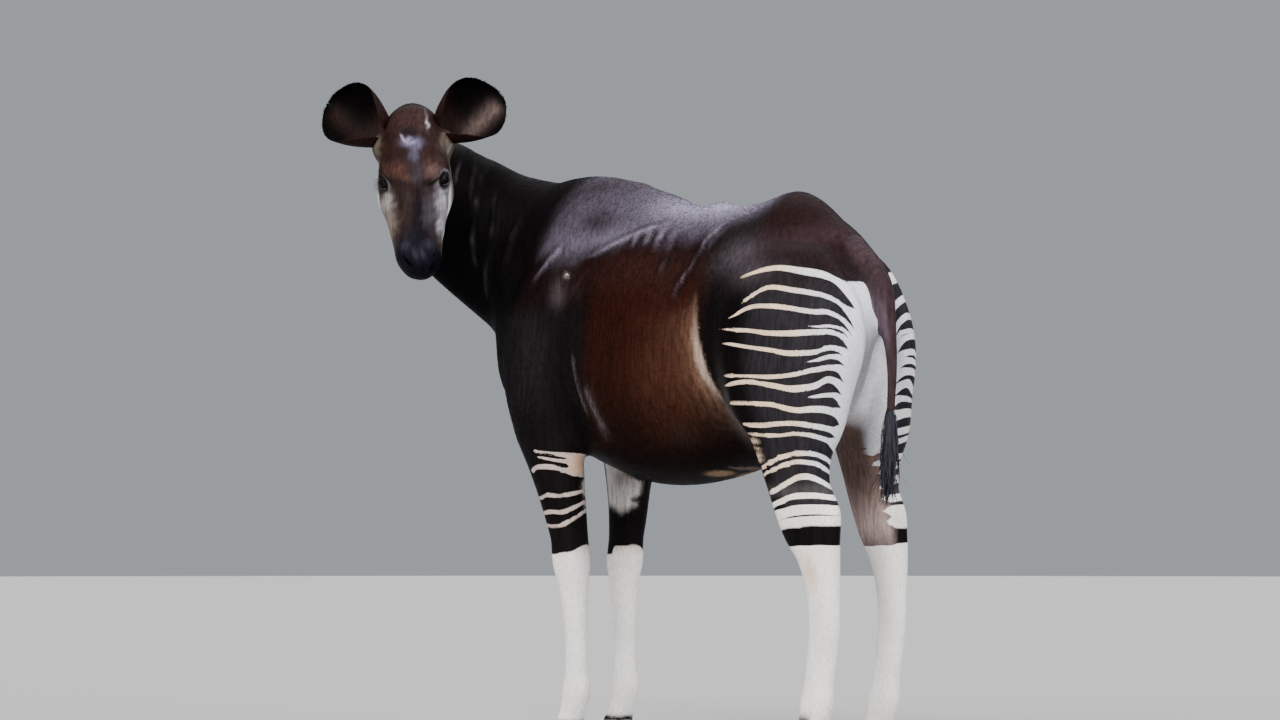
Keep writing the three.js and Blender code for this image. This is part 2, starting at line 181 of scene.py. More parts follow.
def placeCamera(v):
    turn = math.radians(v["bearing"])
    right = np.array((-math.cos(turn), -math.sin(turn), 0))
    level = np.array((math.sin(turn), -math.cos(turn), 0))
    upward = np.array((0, 0, 1.0))
    wide, high = v["picture"]
    tilt = math.atan2(v["horizonRow"] - high / 2, v["focalPixels"])
    forward = level * math.cos(tilt) + upward * math.sin(tilt)
    above = -level * math.sin(tilt) + upward * math.cos(tilt)
    spot = -v["distance"] * level - (v["centreColumn"] - wide / 2) / v["focalPixels"] * v["distance"] * right
    spot[2] = v["height"]
    data = bpy.data.cameras.new("photoCamera")
    data.sensor_width = v["sensorWidth"]
    data.lens = v["focalPixels"] / wide * v["sensorWidth"]
    data.clip_end = v["farClip"]
    bpy.context.scene.camera = addObject(data, placeOf(right, above, -forward, spot - middle))
    return right, level


rightOfView, depthOfView = placeCamera(photoView)

studio = {
    "floorColour": (0.34, 0.335, 0.325),
    "floorRoughness": 0.85,
    "floorRadius": 45.0,
    "floorCorners": 72,
    "skyColour": (0.80, 0.84, 0.90),
    "skyStrength": 0.45,
    "lampDistance": 6.0,
    # name: where it comes from, as (right, towards the camera, up), softness in degrees, strength, colour
    "lights": {
        "overhead": ((0.2, -0.35, 1.0), 70, 3.6, (0.88, 0.93, 1.0)),
        "key": ((-0.75, 1.0, 0.85), 40, 3.5, (1.0, 0.97, 0.93)),
        "spark": ((-0.25, 1.0, 0.7), 10, 1.3, (1.0, 0.98, 0.96)),
        "fill": ((1.0, 0.75, 0.45), 50, 2.6, (1.0, 0.98, 0.96)),
    },
}


def lightStudio(s):
    for name, (place, softness, power, colour) in s["lights"].items():
        data = bpy.data.lights.new(name, "SUN")
        data.angle, data.energy, data.color = math.radians(softness), power, colour
        aim = unit(rightOfView * place[0] - depthOfView * place[1] + np.array((0, 0, place[2])))
        side = unit(np.cross((0, 0, 1.0), aim) + 1e-6)
        addObject(data, placeOf(side, np.cross(aim, side), aim, aim * s["lampDistance"]))
    world = bpy.data.worlds.new("sky")
    world.use_nodes = True
    world.node_tree.nodes["Background"].inputs["Color"].default_value = (*s["skyColour"], 1)
    world.node_tree.nodes["Background"].inputs["Strength"].default_value = s["skyStrength"]
    bpy.context.scene.world = world


def layFloor(s):
    # one round sheet at height 0
    turn = roundTurns(s["floorCorners"])
    points = s["floorRadius"] * np.stack([np.cos(turn), np.sin(turn), 0 * turn], -1) + middle
    mesh = makeMesh("studioFloor", points, np.arange(len(turn))[None])
    mesh.materials.append(newMaterial("palePaper", s["floorColour"], s["floorRoughness"])[0])
    floor = addObject(mesh)


lightStudio(studio)
layFloor(studio)
print("camera, floor and light are set")


# A loft is a rounded section carried along a path. Columns, in millimetres: x y z of the path, reach up
# (forward on a leg), reach down (back), half width, and how square the section is above and below, 2
# where nothing is given.
trunk = {
    "buttock": [-698, 0, 1150, 115, 130, 62],
    "tailHead": [-640, 0, 1152, 144, 200, 84, 1.8, 2],
    "rump": [-572, 0, 1150, 242, 262, 134, 1.8, 2.1],
    "croup": [-488, 0, 1138, 338, 291, 182, 1.75, 2.1],
    "hipBones": [-352, 0, 1110, 353, 302, 218, 1.65, 2.1],
    "loin": [-230, 0, 1075, 403, 306, 222, 1.7, 2.2],
    "lastRib": [-90, 0, 1045, 421, 318, 250, 1.8, 2.2],
    "barrel": [50, 0, 1040, 440, 326, 258, 1.8, 2.2],
    "girth": [190, 0, 1060, 458, 312, 236, 1.7, 2.1],
    "withers": [330, 0, 1090, 466, 290, 198, 1.6, 2.1],
    "neckBase": [460, 0, 1115, 450, 270, 176, 1.7, 2],
    "breast": [570, 0, 1120, 370, 240, 158],
    "breastFront": [655, 0, 1125, 290, 195, 134],
    "breastTip": [714, 0, 1135, 180, 125, 92],
}
neck = {
    "root": [300, 0, 1250, 270, 250, 130, 1.9, 2],
    "base": [450, 0, 1320, 246, 280, 138, 1.8, 2],
    "lower": [600, 25, 1370, 212, 262, 124, 1.8, 2],
    "middle": [720, 85, 1430, 188, 215, 108, 1.8, 2],
    "upper": [790, 170, 1500, 178, 185, 98, 1.9, 2],
    "throat": [812, 250, 1570, 156, 150, 90],
    "nape": [806, 325, 1635, 110, 105, 80],
}
skull = {  # in the head's own frame
    "occiput": [-15, 0, 10, 45, 55, 48],
    "poll": [40, 0, 5, 72, 85, 72, 2.2, 2],
    "earBase": [95, 0, 0, 86, 112, 86, 2.3, 2],
    "brow": [160, 0, 0, 90, 124, 99, 2.5, 2.1],
    "eyes": [225, 0, 2, 82, 124, 101, 2.5, 2.1],
    "cheek": [285, 0, -4, 72, 110, 99, 2.4, 2.2],
    "nose": [345, 0, -10, 63, 84, 85, 2.3, 2.3],
    "muzzle": [400, 0, -14, 57, 60, 71, 2.4, 2.3],
    "nostrils": [452, 3, -14, 52, 47, 61, 2.4, 2.3],
    "lips": [492, 11, -16, 40, 38, 44, 2.3, 2.3],
    "lipTip": [516, 16, -18, 25, 24, 25, 2.3, 2.3],
}
foreleg = {
    "blade": [345, 112, 1380, 60, 70, 44],
    "shoulder": [440, 128, 1200, 110, 120, 80],
    "upperArm": [462, 140, 1060, 115, 140, 86],
    "elbow": [425, 148, 900, 104, 118, 78],
    "forearm": [392, 146, 780, 84, 88, 64],
    "foreleg": [366, 143, 670, 68, 66, 54],
    "aboveKnee": [350, 140, 580, 57, 54, 48, 2.2, 2],
    "knee": [342, 139, 505, 54, 47, 47, 2.4, 2.2],
    "belowKnee": [338, 138, 430, 42, 42, 38, 2.2, 2],
    "cannon": [336, 137, 330, 34, 38, 31],
    "lowCannon": [334, 136, 220, 34, 38, 31],
    "fetlock": [334, 136, 165, 39, 45, 38],
    "pastern": [348, 136, 105, 35, 37, 36],
    "coronet": [362, 136, 62, 42, 38, 43],
    "hoofHeart": [367, 136, 30, 40, 36, 38],
}
hindleg = {
    "hip": [-450, 116, 1322, 90, 84, 50],
    "thigh": [-492, 126, 1210, 155, 166, 82],
    "buttock": [-514, 131, 1090, 195, 214, 96],
    "stifle": [-528, 143, 965, 190, 194, 98],
    "gaskinTop": [-550, 154, 860, 148, 148, 82],
    "gaskin": [-557, 160, 770, 106, 102, 66],
    "aboveHock": [-572, 161, 690, 86, 88, 55],
    "hock": [-604, 161, 610, 80, 92, 51, 2, 2.2],
    "underHock": [-636, 161, 530, 60, 60, 45, 2, 2.2],
    "cannon": [-652, 160, 430, 46, 46, 37],
    "midCannon": [-652, 159, 340, 43, 44, 34],
    "lowCannon": [-634, 158, 225, 41, 43, 34],
    "fetlock": [-624, 158, 165, 44, 48, 39],
    "pastern": [-606, 158, 105, 38, 40, 37],
    "coronet": [-590, 158, 62, 44, 38, 44],
    "hoofHeart": [-585, 158, 30, 42, 36, 38],
}
tail = {
    "root": [-515, 0, 1322, 30, 55, 44, 2, 2],
    "head": [-580, 0, 1304, 38, 54, 48, 2, 2],
    "bend": [-645, 0, 1260, 36, 46, 43, 2, 2],
    "upper": [-690, 0, 1205, 32, 36, 36, 2, 2],
    "middle": [-724, 0, 1112, 20, 21, 22],
    "lower": [-737, 0, 1000, 14, 14, 14],
    "tip": [-732, 0, 890, 11, 11, 11],
}
legPlans = {  # side, how far the foot steps forward, and the height above which the leg stays
    "leftFore": (foreleg, 1, -18, 900),
    "rightFore": (foreleg, -1, 88, 900),
    "leftHind": (hindleg, 1, 0, 1450),
    "rightHind": (hindleg, -1, 72, 1450),
}
stepHeight = 480  # below it, a leg has moved by its whole step
toeOut = math.radians(10)
headPlace = {"at": (0.783, 0.337, 1.765), "heading": 138.0, "tilt": 4.0, "pitch": 68.0}


def headAxes(h):
    turns = [(h["heading"], "Z"), (h["tilt"], "X"), (h["pitch"], "Y")]
    frameOfHead = Matrix.Identity(3)
    for angle, axis in turns:
        frameOfHead = frameOfHead @ Matrix.Rotation(math.radians(angle), 3, axis)
    return np.array(frameOfHead), np.array(h["at"])


headTurn, headAt = headAxes(headPlace)


def fromHead(p):  # millimetres in the head's frame to metres in the body's
    return (np.asarray(p, float) / 1000) @ headTurn.T + headAt


def toHead(p):
    return ((p - headAt) @ headTurn) * 1000


loftSteps = 1200  # the parts that a loft's path is cut into
batch = 120000  # points that are measured at a time


def makeLoft(stations, toward, ends, blendRadius, coatDepth, carry=None):
    # Stations are joined by cubics over the length of the path. A section's sideways direction is
    # toward x tangent, its upward direction tangent x sideways.
    rows = np.array([(list(r) + [2, 2])[:8] for r in stations.values()], float)
    rows[:, :6] /= 1000
    reach = np.r_[0, np.cumsum(np.linalg.norm(np.diff(rows[:, :3], axis=0), axis=1))]
    last = len(rows) - 1
    step = np.arange(last + 1)
    lower, upper = np.maximum(step - 1, 0), np.minimum(step + 1, last)
    slopes = (rows[upper] - rows[lower]) / (reach[upper] - reach[lower])[:, None]
    along = np.linspace(0, reach[-1], loftSteps + 1)
    i = np.clip(np.searchsorted(reach, along, side="right") - 1, 0, last - 1)
    span = (reach[i + 1] - reach[i])[:, None]
    f = (along - reach[i])[:, None] / span
    values = (2 * f**3 - 3 * f**2 + 1) * rows[i] + (f**3 - 2 * f**2 + f) * slopes[i] * span
    values += (3 * f**2 - 2 * f**3) * rows[i + 1] + (f**3 - f**2) * slopes[i + 1] * span
    row = np.arange(loftSteps + 1)
    centre = values[:, :3]
    if carry:
        turn, at = carry
        centre = centre @ turn.T + at
        toward = np.asarray(toward) @ turn.T
    near = loftSteps // 100
    tangent = unit(centre[np.minimum(row + near, loftSteps)] - centre[np.maximum(row - near, 0)])
    side = unit(np.cross(np.asarray(toward, float), tangent))
    up = np.cross(tangent, side)
    room = values[:, 3:6].max(1, keepdims=True)
    return {
        "table": np.concatenate([centre, tangent, side, up, values[:, 3:]], axis=1),
        "length": reach[-1],
        "ends": ends,
        "blend": blendRadius,
        "coat": coatDepth,
        "low": (centre - room).min(0) - 0.05,
        "high": (centre + room).max(0) + 0.05,
    }


def measure(points, loft):
    # For each point: the signed distance from the loft's surface, the share of the way along the path,
    # and the angle about it. A section's edge is |a/half|^n + |b/reach|^n = 1; both ends are domes. The
    # nearest row is the nearest of every 30th, moved five times by the point's place along the tangent.
    table, length = loft["table"], loft["length"]
    stride = length / loftSteps
    out = np.empty((len(points), 3))
    for start in range(0, len(points), batch):
        p = points[start : start + batch]
        coarse = table[::30, :3]
        gap = (p**2).sum(1)[:, None] - 2 * p @ coarse.T + (coarse**2).sum(1)[None]
        near = np.argmin(gap, axis=1) * 30.0
        for _ in range(5):
            k = np.round(near).astype(int)
            ahead = dot(p - table[k, :3], table[k, 3:6]) / stride + (k - near)
            near = np.clip(near + 0.85 * np.clip(ahead, -60, 60), 0, loftSteps)
        k = np.minimum(near.astype(int), loftSteps - 1)
        share = (near - k)[:, None]
        row = table[k] * (1 - share) + table[k + 1] * share
        away = p - row[:, :3]
        ahead = dot(away, row[:, 3:6])
        a, b = dot(away, row[:, 6:9]), dot(away, row[:, 9:12])
        above = b > 0
        tall = np.where(above, row[:, 12], row[:, 13])
        n = np.where(above, row[:, 15], row[:, 16])
        half = row[:, 14]
        across, over = np.abs(a) / half + 1e-6, np.abs(b) / tall + 1e-6
        f = (across**n + over**n) ** (1 / n)
        slope = f ** (1 - n) * np.hypot(across ** (n - 1) / half, over ** (n - 1) / tall)
        s = near * stride + np.where((near <= 0) | (near >= loftSteps), ahead, 0)
        front, back = loft["ends"]
        first, second = 1 - s / front * 1000, 1 - (length - s) / back * 1000
        q = np.maximum(0, np.maximum(first, second))
        end = np.where(first > second, front, back) / 1000
        whole = np.hypot(f, q)
        grade = np.hypot(f * slope, q / end) / whole
        signed = (whole - 1) / grade + loft["coat"]
        out[start : start + batch] = np.stack([signed, near / loftSteps, np.arctan2(b, a)], 1)
    return out


def legRows(plan):
    # a leg's stations on its own side, moved forward by more and more of its step from the hip down
    stations, side, stride, still = plan
    moved = {}
    for name, (x, y, z, *rest) in stations.items():
        follow = min(1, max(0, (still - z) / (still - stepHeight)))
        moved[name] = [x + stride * follow, y * side, z, *rest]
    return moved


def makeLofts():
    # each loft's stations, the way its top faces, the lengths of its domed ends in millimetres, and in
    # metres how softly it joins the others and how deep the skin lies under the coat's tips
    lofts = {
        "trunk": makeLoft(trunk, (0, 0, 1), (80, 60), 0.05, 0.0035),
        "neck": makeLoft(neck, (0, 0, 1), (60, 60), 0.07, 0.003),
        "skull": makeLoft(skull, (0, 0, 1), (50, 26), 0.035, 0.0015, (headTurn, headAt)),
        "tail": makeLoft(tail, (-1, 0, 0), (20, 8), 0.06, 0.0015),
    }
    for name, plan in legPlans.items():
        toward = (1, plan[1] * math.tan(toeOut), 0)
        lofts[name] = makeLoft(legRows(plan), toward, (70, 12), 0.035, 0.002)
    return lofts


lofts = makeLofts()

eye = {  # in millimetres of the head's frame
    "at": (244, 72, 37),
    "look": (0.26, 0.74, 0.6),
    "radius": 25.0,
    "clearFront": 1.4,  # how far the clear front swells
    "lid": 3.2,  # thickness of the lids
    "reach": 24.0,  # half the length of the opening
    "high": 14.2,
    "low": 10.8,
    "droop": 1.5,  # how much lower the opening's front corner lies
    "sunk": 11.5,  # how deep the skin sinks behind the opening
    "crease": 2.2,  # depth of the crease over the upper lid
    "rim": 26.7,  # radius on which the lids' rims lie
    "rimWidth": 1.7,
    "lashRoot": 28.0,  # radius on which the lashes stand
}
joins = {"apart": 0.5, "ear": 0.022, "lid": 0.012}  # a far distance, then how softly two forms join


def eyeAxes(side):
    # rows: along the opening, across its top, and the way the eye looks, in the head's frame
    look = unit(onSide(eye["look"], side))
    along = np.array((1, -0.5 * side, 0.15))
    along = unit(along - look * dot(along, look))
    return np.stack([along, np.cross(look, along) * side, look])


earBase = {"at": (108, 82, -6), "radii": (42, 33, 36)}  # the furry swelling that an ear grows from


def earBaseField(points, side):
    # how far points lie outside an ellipsoid: (f - 1) f / g, f its size through the point, g the slope
    h = (toHead(points) - onSide(earBase["at"], side)) / earBase["radii"]
    f = np.linalg.norm(h, axis=1)
    return (f - 1) * f / np.maximum(np.linalg.norm(h / earBase["radii"], axis=1), 1e-6) / 1000


def smoothUnion(a, b, k):
    h = np.clip(0.5 + 0.5 * (b - a) / k, 0, 1)
    return b * (1 - h) + a * h - k * h * (1 - h)


def loftField(points, name):
    d = measure(points, lofts[name])[:, 0]
    if name == "skull":
        for side in both:
            d = smoothUnion(d, earBaseField(points, side), joins["ear"])
    return d


def bodyField(points):
    # the signed distance from all lofts and lids, joined by a smooth union
    total = np.full(len(points), joins["apart"])
    for name, loft in lofts.items():
        inside = ((points > loft["low"]) & (points < loft["high"])).all(1)
        if inside.any():
            d = loftField(points[inside], name)
            total[inside] = smoothUnion(total[inside], d, loft["blend"])
    for side in both:
        centre = fromHead(onSide(eye["at"], side))
        d = np.linalg.norm(points - centre, axis=1) - (eye["radius"] + eye["lid"]) / 1000
        total = np.where(d < 5 * joins["lid"], smoothUnion(total, d, joins["lid"]), total)
    return total


print("lofts are ready")


# The skin is the zero level of the body's distance field. In each cell of a grid that the level crosses
# lies one vertex, the mean of the crossings of its edges, and each crossed grid edge gives a quad.
skinGrid = {"step": 0.0118, "low": (-0.76, -0.30, 0.035), "high": (0.95, 0.62, 1.90)}


def gridField(g):
    # the body's field on the points of a grid, worked out only in each loft's own box
    axes = [np.arange(lo, hi, g["step"]) for lo, hi in zip(g["low"], g["high"])]
    total = np.full([len(a) for a in axes], joins["apart"])
    for name, loft in lofts.items():
        span = [np.searchsorted(a, (lo, hi)) for a, lo, hi in zip(axes, loft["low"], loft["high"])]
        block = tuple(slice(*s) for s in span)
        grids = np.meshgrid(*[a[b] for a, b in zip(axes, block)], indexing="ij")
        points = np.stack(grids, -1).reshape(-1, 3)
        d = loftField(points, name).reshape(grids[0].shape)
        total[block] = smoothUnion(total[block], d, loft["blend"])
    return axes, total


def surfaceNet(axes, field):
    # corners: the eight of a cell; a pair of them that differs on one axis is an edge of the cell
    inside = field < 0
    corners = np.array([(i, j, k) for i in (0, 1) for j in (0, 1) for k in (0, 1)])
    size = np.array(field.shape) - 1
    count = np.zeros(size, int)
    for i, j, k in corners:
        count += inside[i : i + size[0], j : j + size[1], k : k + size[2]]
    cells = np.argwhere((count > 0) & (count < 8))
    number = np.full(size, -1)
    number[tuple(cells.T)] = np.arange(len(cells))
    values = np.stack([field[tuple((cells + c).T)] for c in corners], 1)
    total, crossings = np.zeros((len(cells), 3)), np.zeros(len(cells))
    for a in range(8):
        for b in range(a + 1, 8):
            if abs(corners[a] - corners[b]).sum() != 1:
                continue
            crossed = (values[:, a] < 0) != (values[:, b] < 0)
            share = np.where(crossed, values[:, a] / (values[:, a] - values[:, b] + 1e-12), 0)
            total += crossed[:, None] * (corners[a] + share[:, None] * (corners[b] - corners[a]))
            crossings += crossed
    places = cells + total / crossings[:, None]
    start = np.array([a[0] for a in axes])
    points = start + places * (axes[0][1] - axes[0][0])
    quads = []
    for axis in range(3):
        one = np.eye(3, dtype=int)
        second, third = one[(axis + 1) % 3], one[(axis + 2) % 3]
        cut = [slice(1, -1)] * 3
        cut[axis] = slice(0, -1)
        ahead = list(cut)
        ahead[axis] = slice(1, None)
        here, there = inside[tuple(cut)], inside[tuple(ahead)]
        at = np.argwhere(here != there) + (second + third)
        leaving = inside[tuple(at.T)]
        ring = [at - second - third, at - third, at, at - second]
        ids = np.stack([number[tuple(r.T)] for r in ring], 1)
        quads.append(np.where(leaving[:, None], ids, ids[:, ::-1]))
    return points, np.concatenate(quads)


# The parts of the skin that get a finer mesh, told apart by their place: p in metres, h in millimetres of
# the head's frame.
def inHeadBox(p):
    h = toHead(p)
    return (h[:, 0] > -15) & (h[:, 0] < 560) & (np.abs(h[:, 1]) < 135) & (h[:, 2] > -150) & (h[:, 2] < 130)


def inFaceDetail(p):
    h = toHead(p)
    eyes = np.hypot(np.hypot(h[:, 0] - 240, np.abs(h[:, 1]) - 90), h[:, 2] - 45) < 40
    return eyes | ((h[:, 0] > 432) & inHeadBox(p))


def onTail(p):
    return (p[:, 0] < -0.66) & (np.abs(p[:, 1]) < 0.035) & (p[:, 2] < 1.16)


def onNeckFolds(p):
    ahead = p[:, 0] + 0.35 * (p[:, 2] - 1.3)
    return (ahead > 0.40) & (p[:, 1] > 0.07) & (p[:, 2] > 1.16) & (p[:, 2] < 1.66) & ~inHeadBox(p)


def refine(mesh, wanted, cuts):
    # splits the edges of the faces whose centres are wanted
    centres = np.empty(len(mesh.polygons) * 3, np.float32)
    mesh.polygons.foreach_get("center", centres)
    chosen = wanted(centres.reshape(-1, 3).astype(float) + middle)
    mesh.polygons.foreach_set("select", chosen)
    work = bmesh.new()
    work.from_mesh(mesh)
    edges = {e for f in work.faces if f.select for e in f.edges}
    bmesh.ops.subdivide_edges(work, edges=list(edges), cuts=cuts, use_grid_fill=True)
    bmesh.ops.triangulate(work, faces=[f for f in work.faces if len(f.verts) > 4])
    for f in work.faces:
        f.smooth = True
    work.to_mesh(mesh)
    work.free()


def edgesOf(mesh):
    flat = np.empty(len(mesh.edges) * 2, np.int32)
    mesh.edges.foreach_get("vertices", flat)
    return flat.reshape(-1, 2)


def relax(points, edges, share):  # moves each point towards the mean of its neighbours
    a, b = edges.T
    count = np.bincount(np.r_[a, b], minlength=len(points))
    sums = [np.bincount(np.r_[a, b], np.r_[points[b, i], points[a, i]], len(points)) for i in range(3)]
    mean = np.stack(sums, 1)
    return points + share * (mean / count[:, None] - points)


def settle(points, rounds=2):
    # steps onto the zero level along the field's gradient, found by central differences
    h = 0.0015
    slope = np.stack([bodyField(points + v) - bodyField(points - v) for v in np.eye(3) * h], 1) / (2 * h)
    step = slope / np.maximum((slope**2).sum(1, keepdims=True), 0.15)
    for _ in range(rounds):
        points = points - np.clip(bodyField(points)[:, None] * step, -0.008, 0.008)
    return points


def makeSkinShape():
    points, quads = surfaceNet(*gridField(skinGrid))
    print("surface net:", len(points), "points")
    mesh = makeMesh("skin", points, quads)
    refine(mesh, inHeadBox, 2)
    refine(mesh, inFaceDetail, 1)
    refine(mesh, onTail, 1)
    refine(mesh, onNeckFolds, 1)
    edges = edgesOf(mesh)
    points = pointsOf(mesh)
    for _ in range(3):
        points = relax(points, edges, 0.6)
    points = settle(points)
    points = relax(points, edges, 0.5)
    points = settle(points, 1)
    putPoints(mesh, points)
    return mesh


skinMesh = makeSkinShape()
print("skin shape:", len(skinMesh.vertices), "points", len(skinMesh.polygons), "faces")


# Soft ridges and hollows are pushed along the skin's normals. A ridge follows a line of points in the
# body's own frame, in millimetres, with a bell-shaped section that fades at both ends. It stands as it is
# given, mirrored to the right side, or on both.
ridges = {  # name: height, half width, sides, line
    "neckFold1": (6, 8, asGiven, [(737, 194, 1642), (721, 225, 1596), (717, 235, 1553)]),
    "neckFold2": (7, 8, asGiven, [
        (722, 160, 1622), (707, 183, 1576), (700, 197, 1530), (694, 200, 1455),
    ]),
    "neckFold3": (8, 8, asGiven, [
        (703, 150, 1600), (685, 186, 1512), (689, 197, 1405), (692, 180, 1320),
    ]),
    "neckFold4": (8, 8, asGiven, [
        (664, 132, 1560), (642, 163, 1432), (664, 168, 1308), (678, 150, 1230),
    ]),
    "neckFold5": (8, 9, asGiven, [
        (559, 113, 1480), (580, 142, 1410), (594, 151, 1341), (635, 142, 1232), (649, 128, 1170),
    ]),
    "neckFold6": (6.5, 8, asGiven, [
        (513, 108, 1468), (525, 134, 1398), (558, 146, 1330), (590, 150, 1262),
    ]),
    "neckFold7": (6.5, 8, asGiven, [
        (440, 105, 1458), (474, 130, 1395), (497, 142, 1327), (520, 160, 1270),
    ]),
    "bladeFront": (6, 11, asGiven, [
        (368, 40, 1537), (429, 89, 1489), (468, 121, 1423), (500, 138, 1358), (517, 144, 1303),
    ]),
    "bladeMid": (5, 11, asGiven, [
        (301, 56, 1514), (364, 73, 1496), (407, 108, 1442), (434, 128, 1387),
    ]),
    "bladeLow": (3.2, 11, asGiven, [
        (350, 140, 1385), (362, 165, 1350), (393, 178, 1316), (439, 195, 1263),
    ]),
    "sheenRim": (2.6, 12, asGiven, [
        (-54, 100, 1410), (30, 138, 1392), (126, 153, 1365), (205, 154, 1344), (292, 150, 1328),
    ]),
    "bladeFar": (7, 20, mirrored, [(375, 53, 1510), (430, 96, 1440), (470, 140, 1340)]),
    "spine": (3, 18, asGiven, [(330, 0, 1556), (50, 0, 1482), (-230, 0, 1472), (-420, 0, 1475)]),
    "hip": (4.5, 12, both, [
        (-400, 48, 1446), (-300, 76, 1418), (-230, 98, 1392), (-188, 132, 1351),
        (-175, 172, 1284), (-153, 204, 1219), (-148, 214, 1180),
    ]),
    "flankFold": (8, 17, both, [
        (-205, 215, 1250), (-242, 205, 1190), (-267, 220, 1078), (-295, 212, 992),
        (-330, 200, 920), (-440, 200, 866),
    ]),
    "shoulderRear": (6, 20, both, [
        (300, 150, 1380), (285, 190, 1290), (262, 220, 1170), (236, 228, 1060),
    ]),
    "elbowFold": (5, 11, both, [(236, 226, 1080), (215, 229, 1020), (190, 230, 950), (176, 215, 890)]),
    "elbowFold2": (3.5, 12, both, [(165, 238, 990), (150, 237, 950), (124, 228, 888), (108, 196, 822)]),
    "rib1": (2, 9, asGiven, [(56, 140, 1392), (52, 173, 1338)]),
    "rib2": (2.4, 9, asGiven, [(18, 128, 1400), (0, 170, 1338)]),
    "rib3": (2.8, 9, asGiven, [(-26, 118, 1402), (-34, 173, 1322)]),
    "rib4": (2.4, 10, asGiven, [(-70, 116, 1404), (-82, 178, 1318), (-90, 215, 1240)]),
    "upperArmFront": (5, 22, both, [
        (450, 150, 1240), (462, 180, 1130), (455, 190, 1010), (430, 180, 920),
    ]),
    "upperArmRear": (6, 24, both, [(350, 200, 1230), (340, 222, 1120), (335, 222, 1010)]),
    "forearmMuscle": (4, 24, both, [(418, 190, 890), (392, 198, 800), (372, 185, 700)]),
    "hamGroove": (-5, 14, both, [
        (-560, 196, 1270), (-600, 205, 1170), (-640, 205, 1060), (-640, 210, 960),
    ]),
    "heelHollow": (-7, 17, both, [
        (-572, 215, 830), (-590, 208, 760), (-604, 203, 700), (-622, 200, 650),
    ]),
    "heelHollowInner": (-6, 16, both, [(-572, 106, 800), (-594, 112, 730), (-622, 118, 650)]),
    "shin": (3, 16, both, [(-476, 205, 850), (-500, 205, 780), (-522, 200, 700)]),
    "buttockEdge": (4, 22, both, [
        (-690, 80, 1230), (-712, 110, 1130), (-706, 130, 1030), (-680, 150, 950),
    ]),
}
mounds = {  # name: centre, radii, height, sides
    "shoulderPoint": ((325, 165, 1270), (46, 60, 58), 10, both),
    "scar": ((310, 162, 1285), (11, 40, 11), -6, asGiven),
    "scarRim": ((310, 162, 1285), (24, 40, 24), 4, asGiven),
    "bladeHollow": ((250, 150, 1420), (70, 60, 50), -7, both),
    "flankHollow": ((-165, 165, 1318), (75, 70, 62), -11, both),
    "behindRib": ((-196, 215, 1130), (45, 60, 110), -7, both),
    "hipBone": ((-262, 105, 1400), (40, 45, 30), 5, both),
    "rumpHollow": ((-520, 120, 1330), (90, 60, 60), -6, both),
    "thigh": ((-470, 214, 1110), (110, 60, 130), 6, both),
    "kneeFront": ((392, 140, 512), (30, 36, 34), 5, both),
    "kneeAbove": ((370, 140, 575), (40, 40, 26), -3, both),
    "armpit": ((290, 200, 880), (60, 60, 60), -6, both),
    "cannonSide": ((334, 170, 300), (14, 20, 130), -3, both),
    "hindCannonSide": ((-655, 196, 330), (14, 20, 130), -3.5, both),
    "hindCannonInner": ((-655, 124, 330), (14, 20, 130), -3.5, both),
    "hockPoint": ((-684, 160, 612), (26, 30, 40), 5, both),
    "brisket": ((640, 0, 960), (80, 60, 60), 5, asGiven),
    "gullet": ((700, 0, 1120), (80, 40, 90), -5, asGiven),
}
headMounds = {  # in the head's frame, both sides
    "browBone": ((210, 88, 60), (28, 16, 14), 6.5),
    "forehead": ((150, 0, 92), (62, 42, 34), 4),
    "foreheadDent": ((96, 0, 90), (18, 24, 20), -5),
    "hornBud": ((122, 40, 86), (17, 15, 16), 4),
    "temple": ((165, 100, 36), (28, 20, 26), -6),
    "tearHollow": ((282, 78, 30), (24, 16, 17), -5),
    "cheekBone": ((262, 98, -10), (52, 16, 13), 5),
    "jawMuscle": ((250, 94, -64), (52, 24, 38), 4.5),
    "cheekHollow": ((338, 80, -28), (36, 20, 26), -6),
    "noseBridge": ((330, 0, 54), (84, 17, 22), 3.5),
    "noseSide": ((345, 40, 46), (60, 14, 18), -3.5),
    "muzzlePad": ((455, 44, -6), (28, 18, 22), 5),
    "nostrilWing": ((486, 36, 18), (17, 10, 13), 5),
    "noseTip": ((478, 0, 26), (22, 14, 16), 2.5),
    "upperLip": ((500, 0, -2), (15, 30, 14), 3),
    "lipGroove": ((508, 0, 6), (14, 4, 16), -3),
    "lowerLip": ((500, 0, -44), (20, 26, 9), 3),
    "chin": ((472, 0, -62), (28, 24, 15), 5),
    "jawEdge": ((320, 56, -100), (90, 14, 13), 3),
    "throatLatch": ((210, 0, -120), (80, 34, 30), -6),
}
nostril = {
    "line": [(468, 41, 20), (478, 38, 22), (490, 33, 19), (498, 26, 10), (499, 22, 2)],
    "depth": 13,
    "width": 4.6,
}
mouth = {"start": 400, "middle": 468, "row": -34.0, "slope": -0.1, "depth": 5.5, "width": 3.0}
grooves = {"rise": 0.5, "ribs": 50.0, "belly": 34.0}  # height and spacings of the fine waves on the trunk


def nearLine(points, line):
    # the distance from each point to a line of points, and the share of the way along it
    line = np.asarray(line, float)
    best, share = np.full(len(points), 1e9), np.zeros(len(points))
    for k in range(len(line) - 1):
        way = line[k + 1] - line[k]
        t = np.clip(dot(points - line[k], way) / dot(way, way), 0, 1)
        d = np.linalg.norm(points - line[k] - t[:, None] * way, axis=1)
        share = np.where(d < best, (k + t) / (len(line) - 1), share)
        best = np.minimum(d, best)
    return best, share


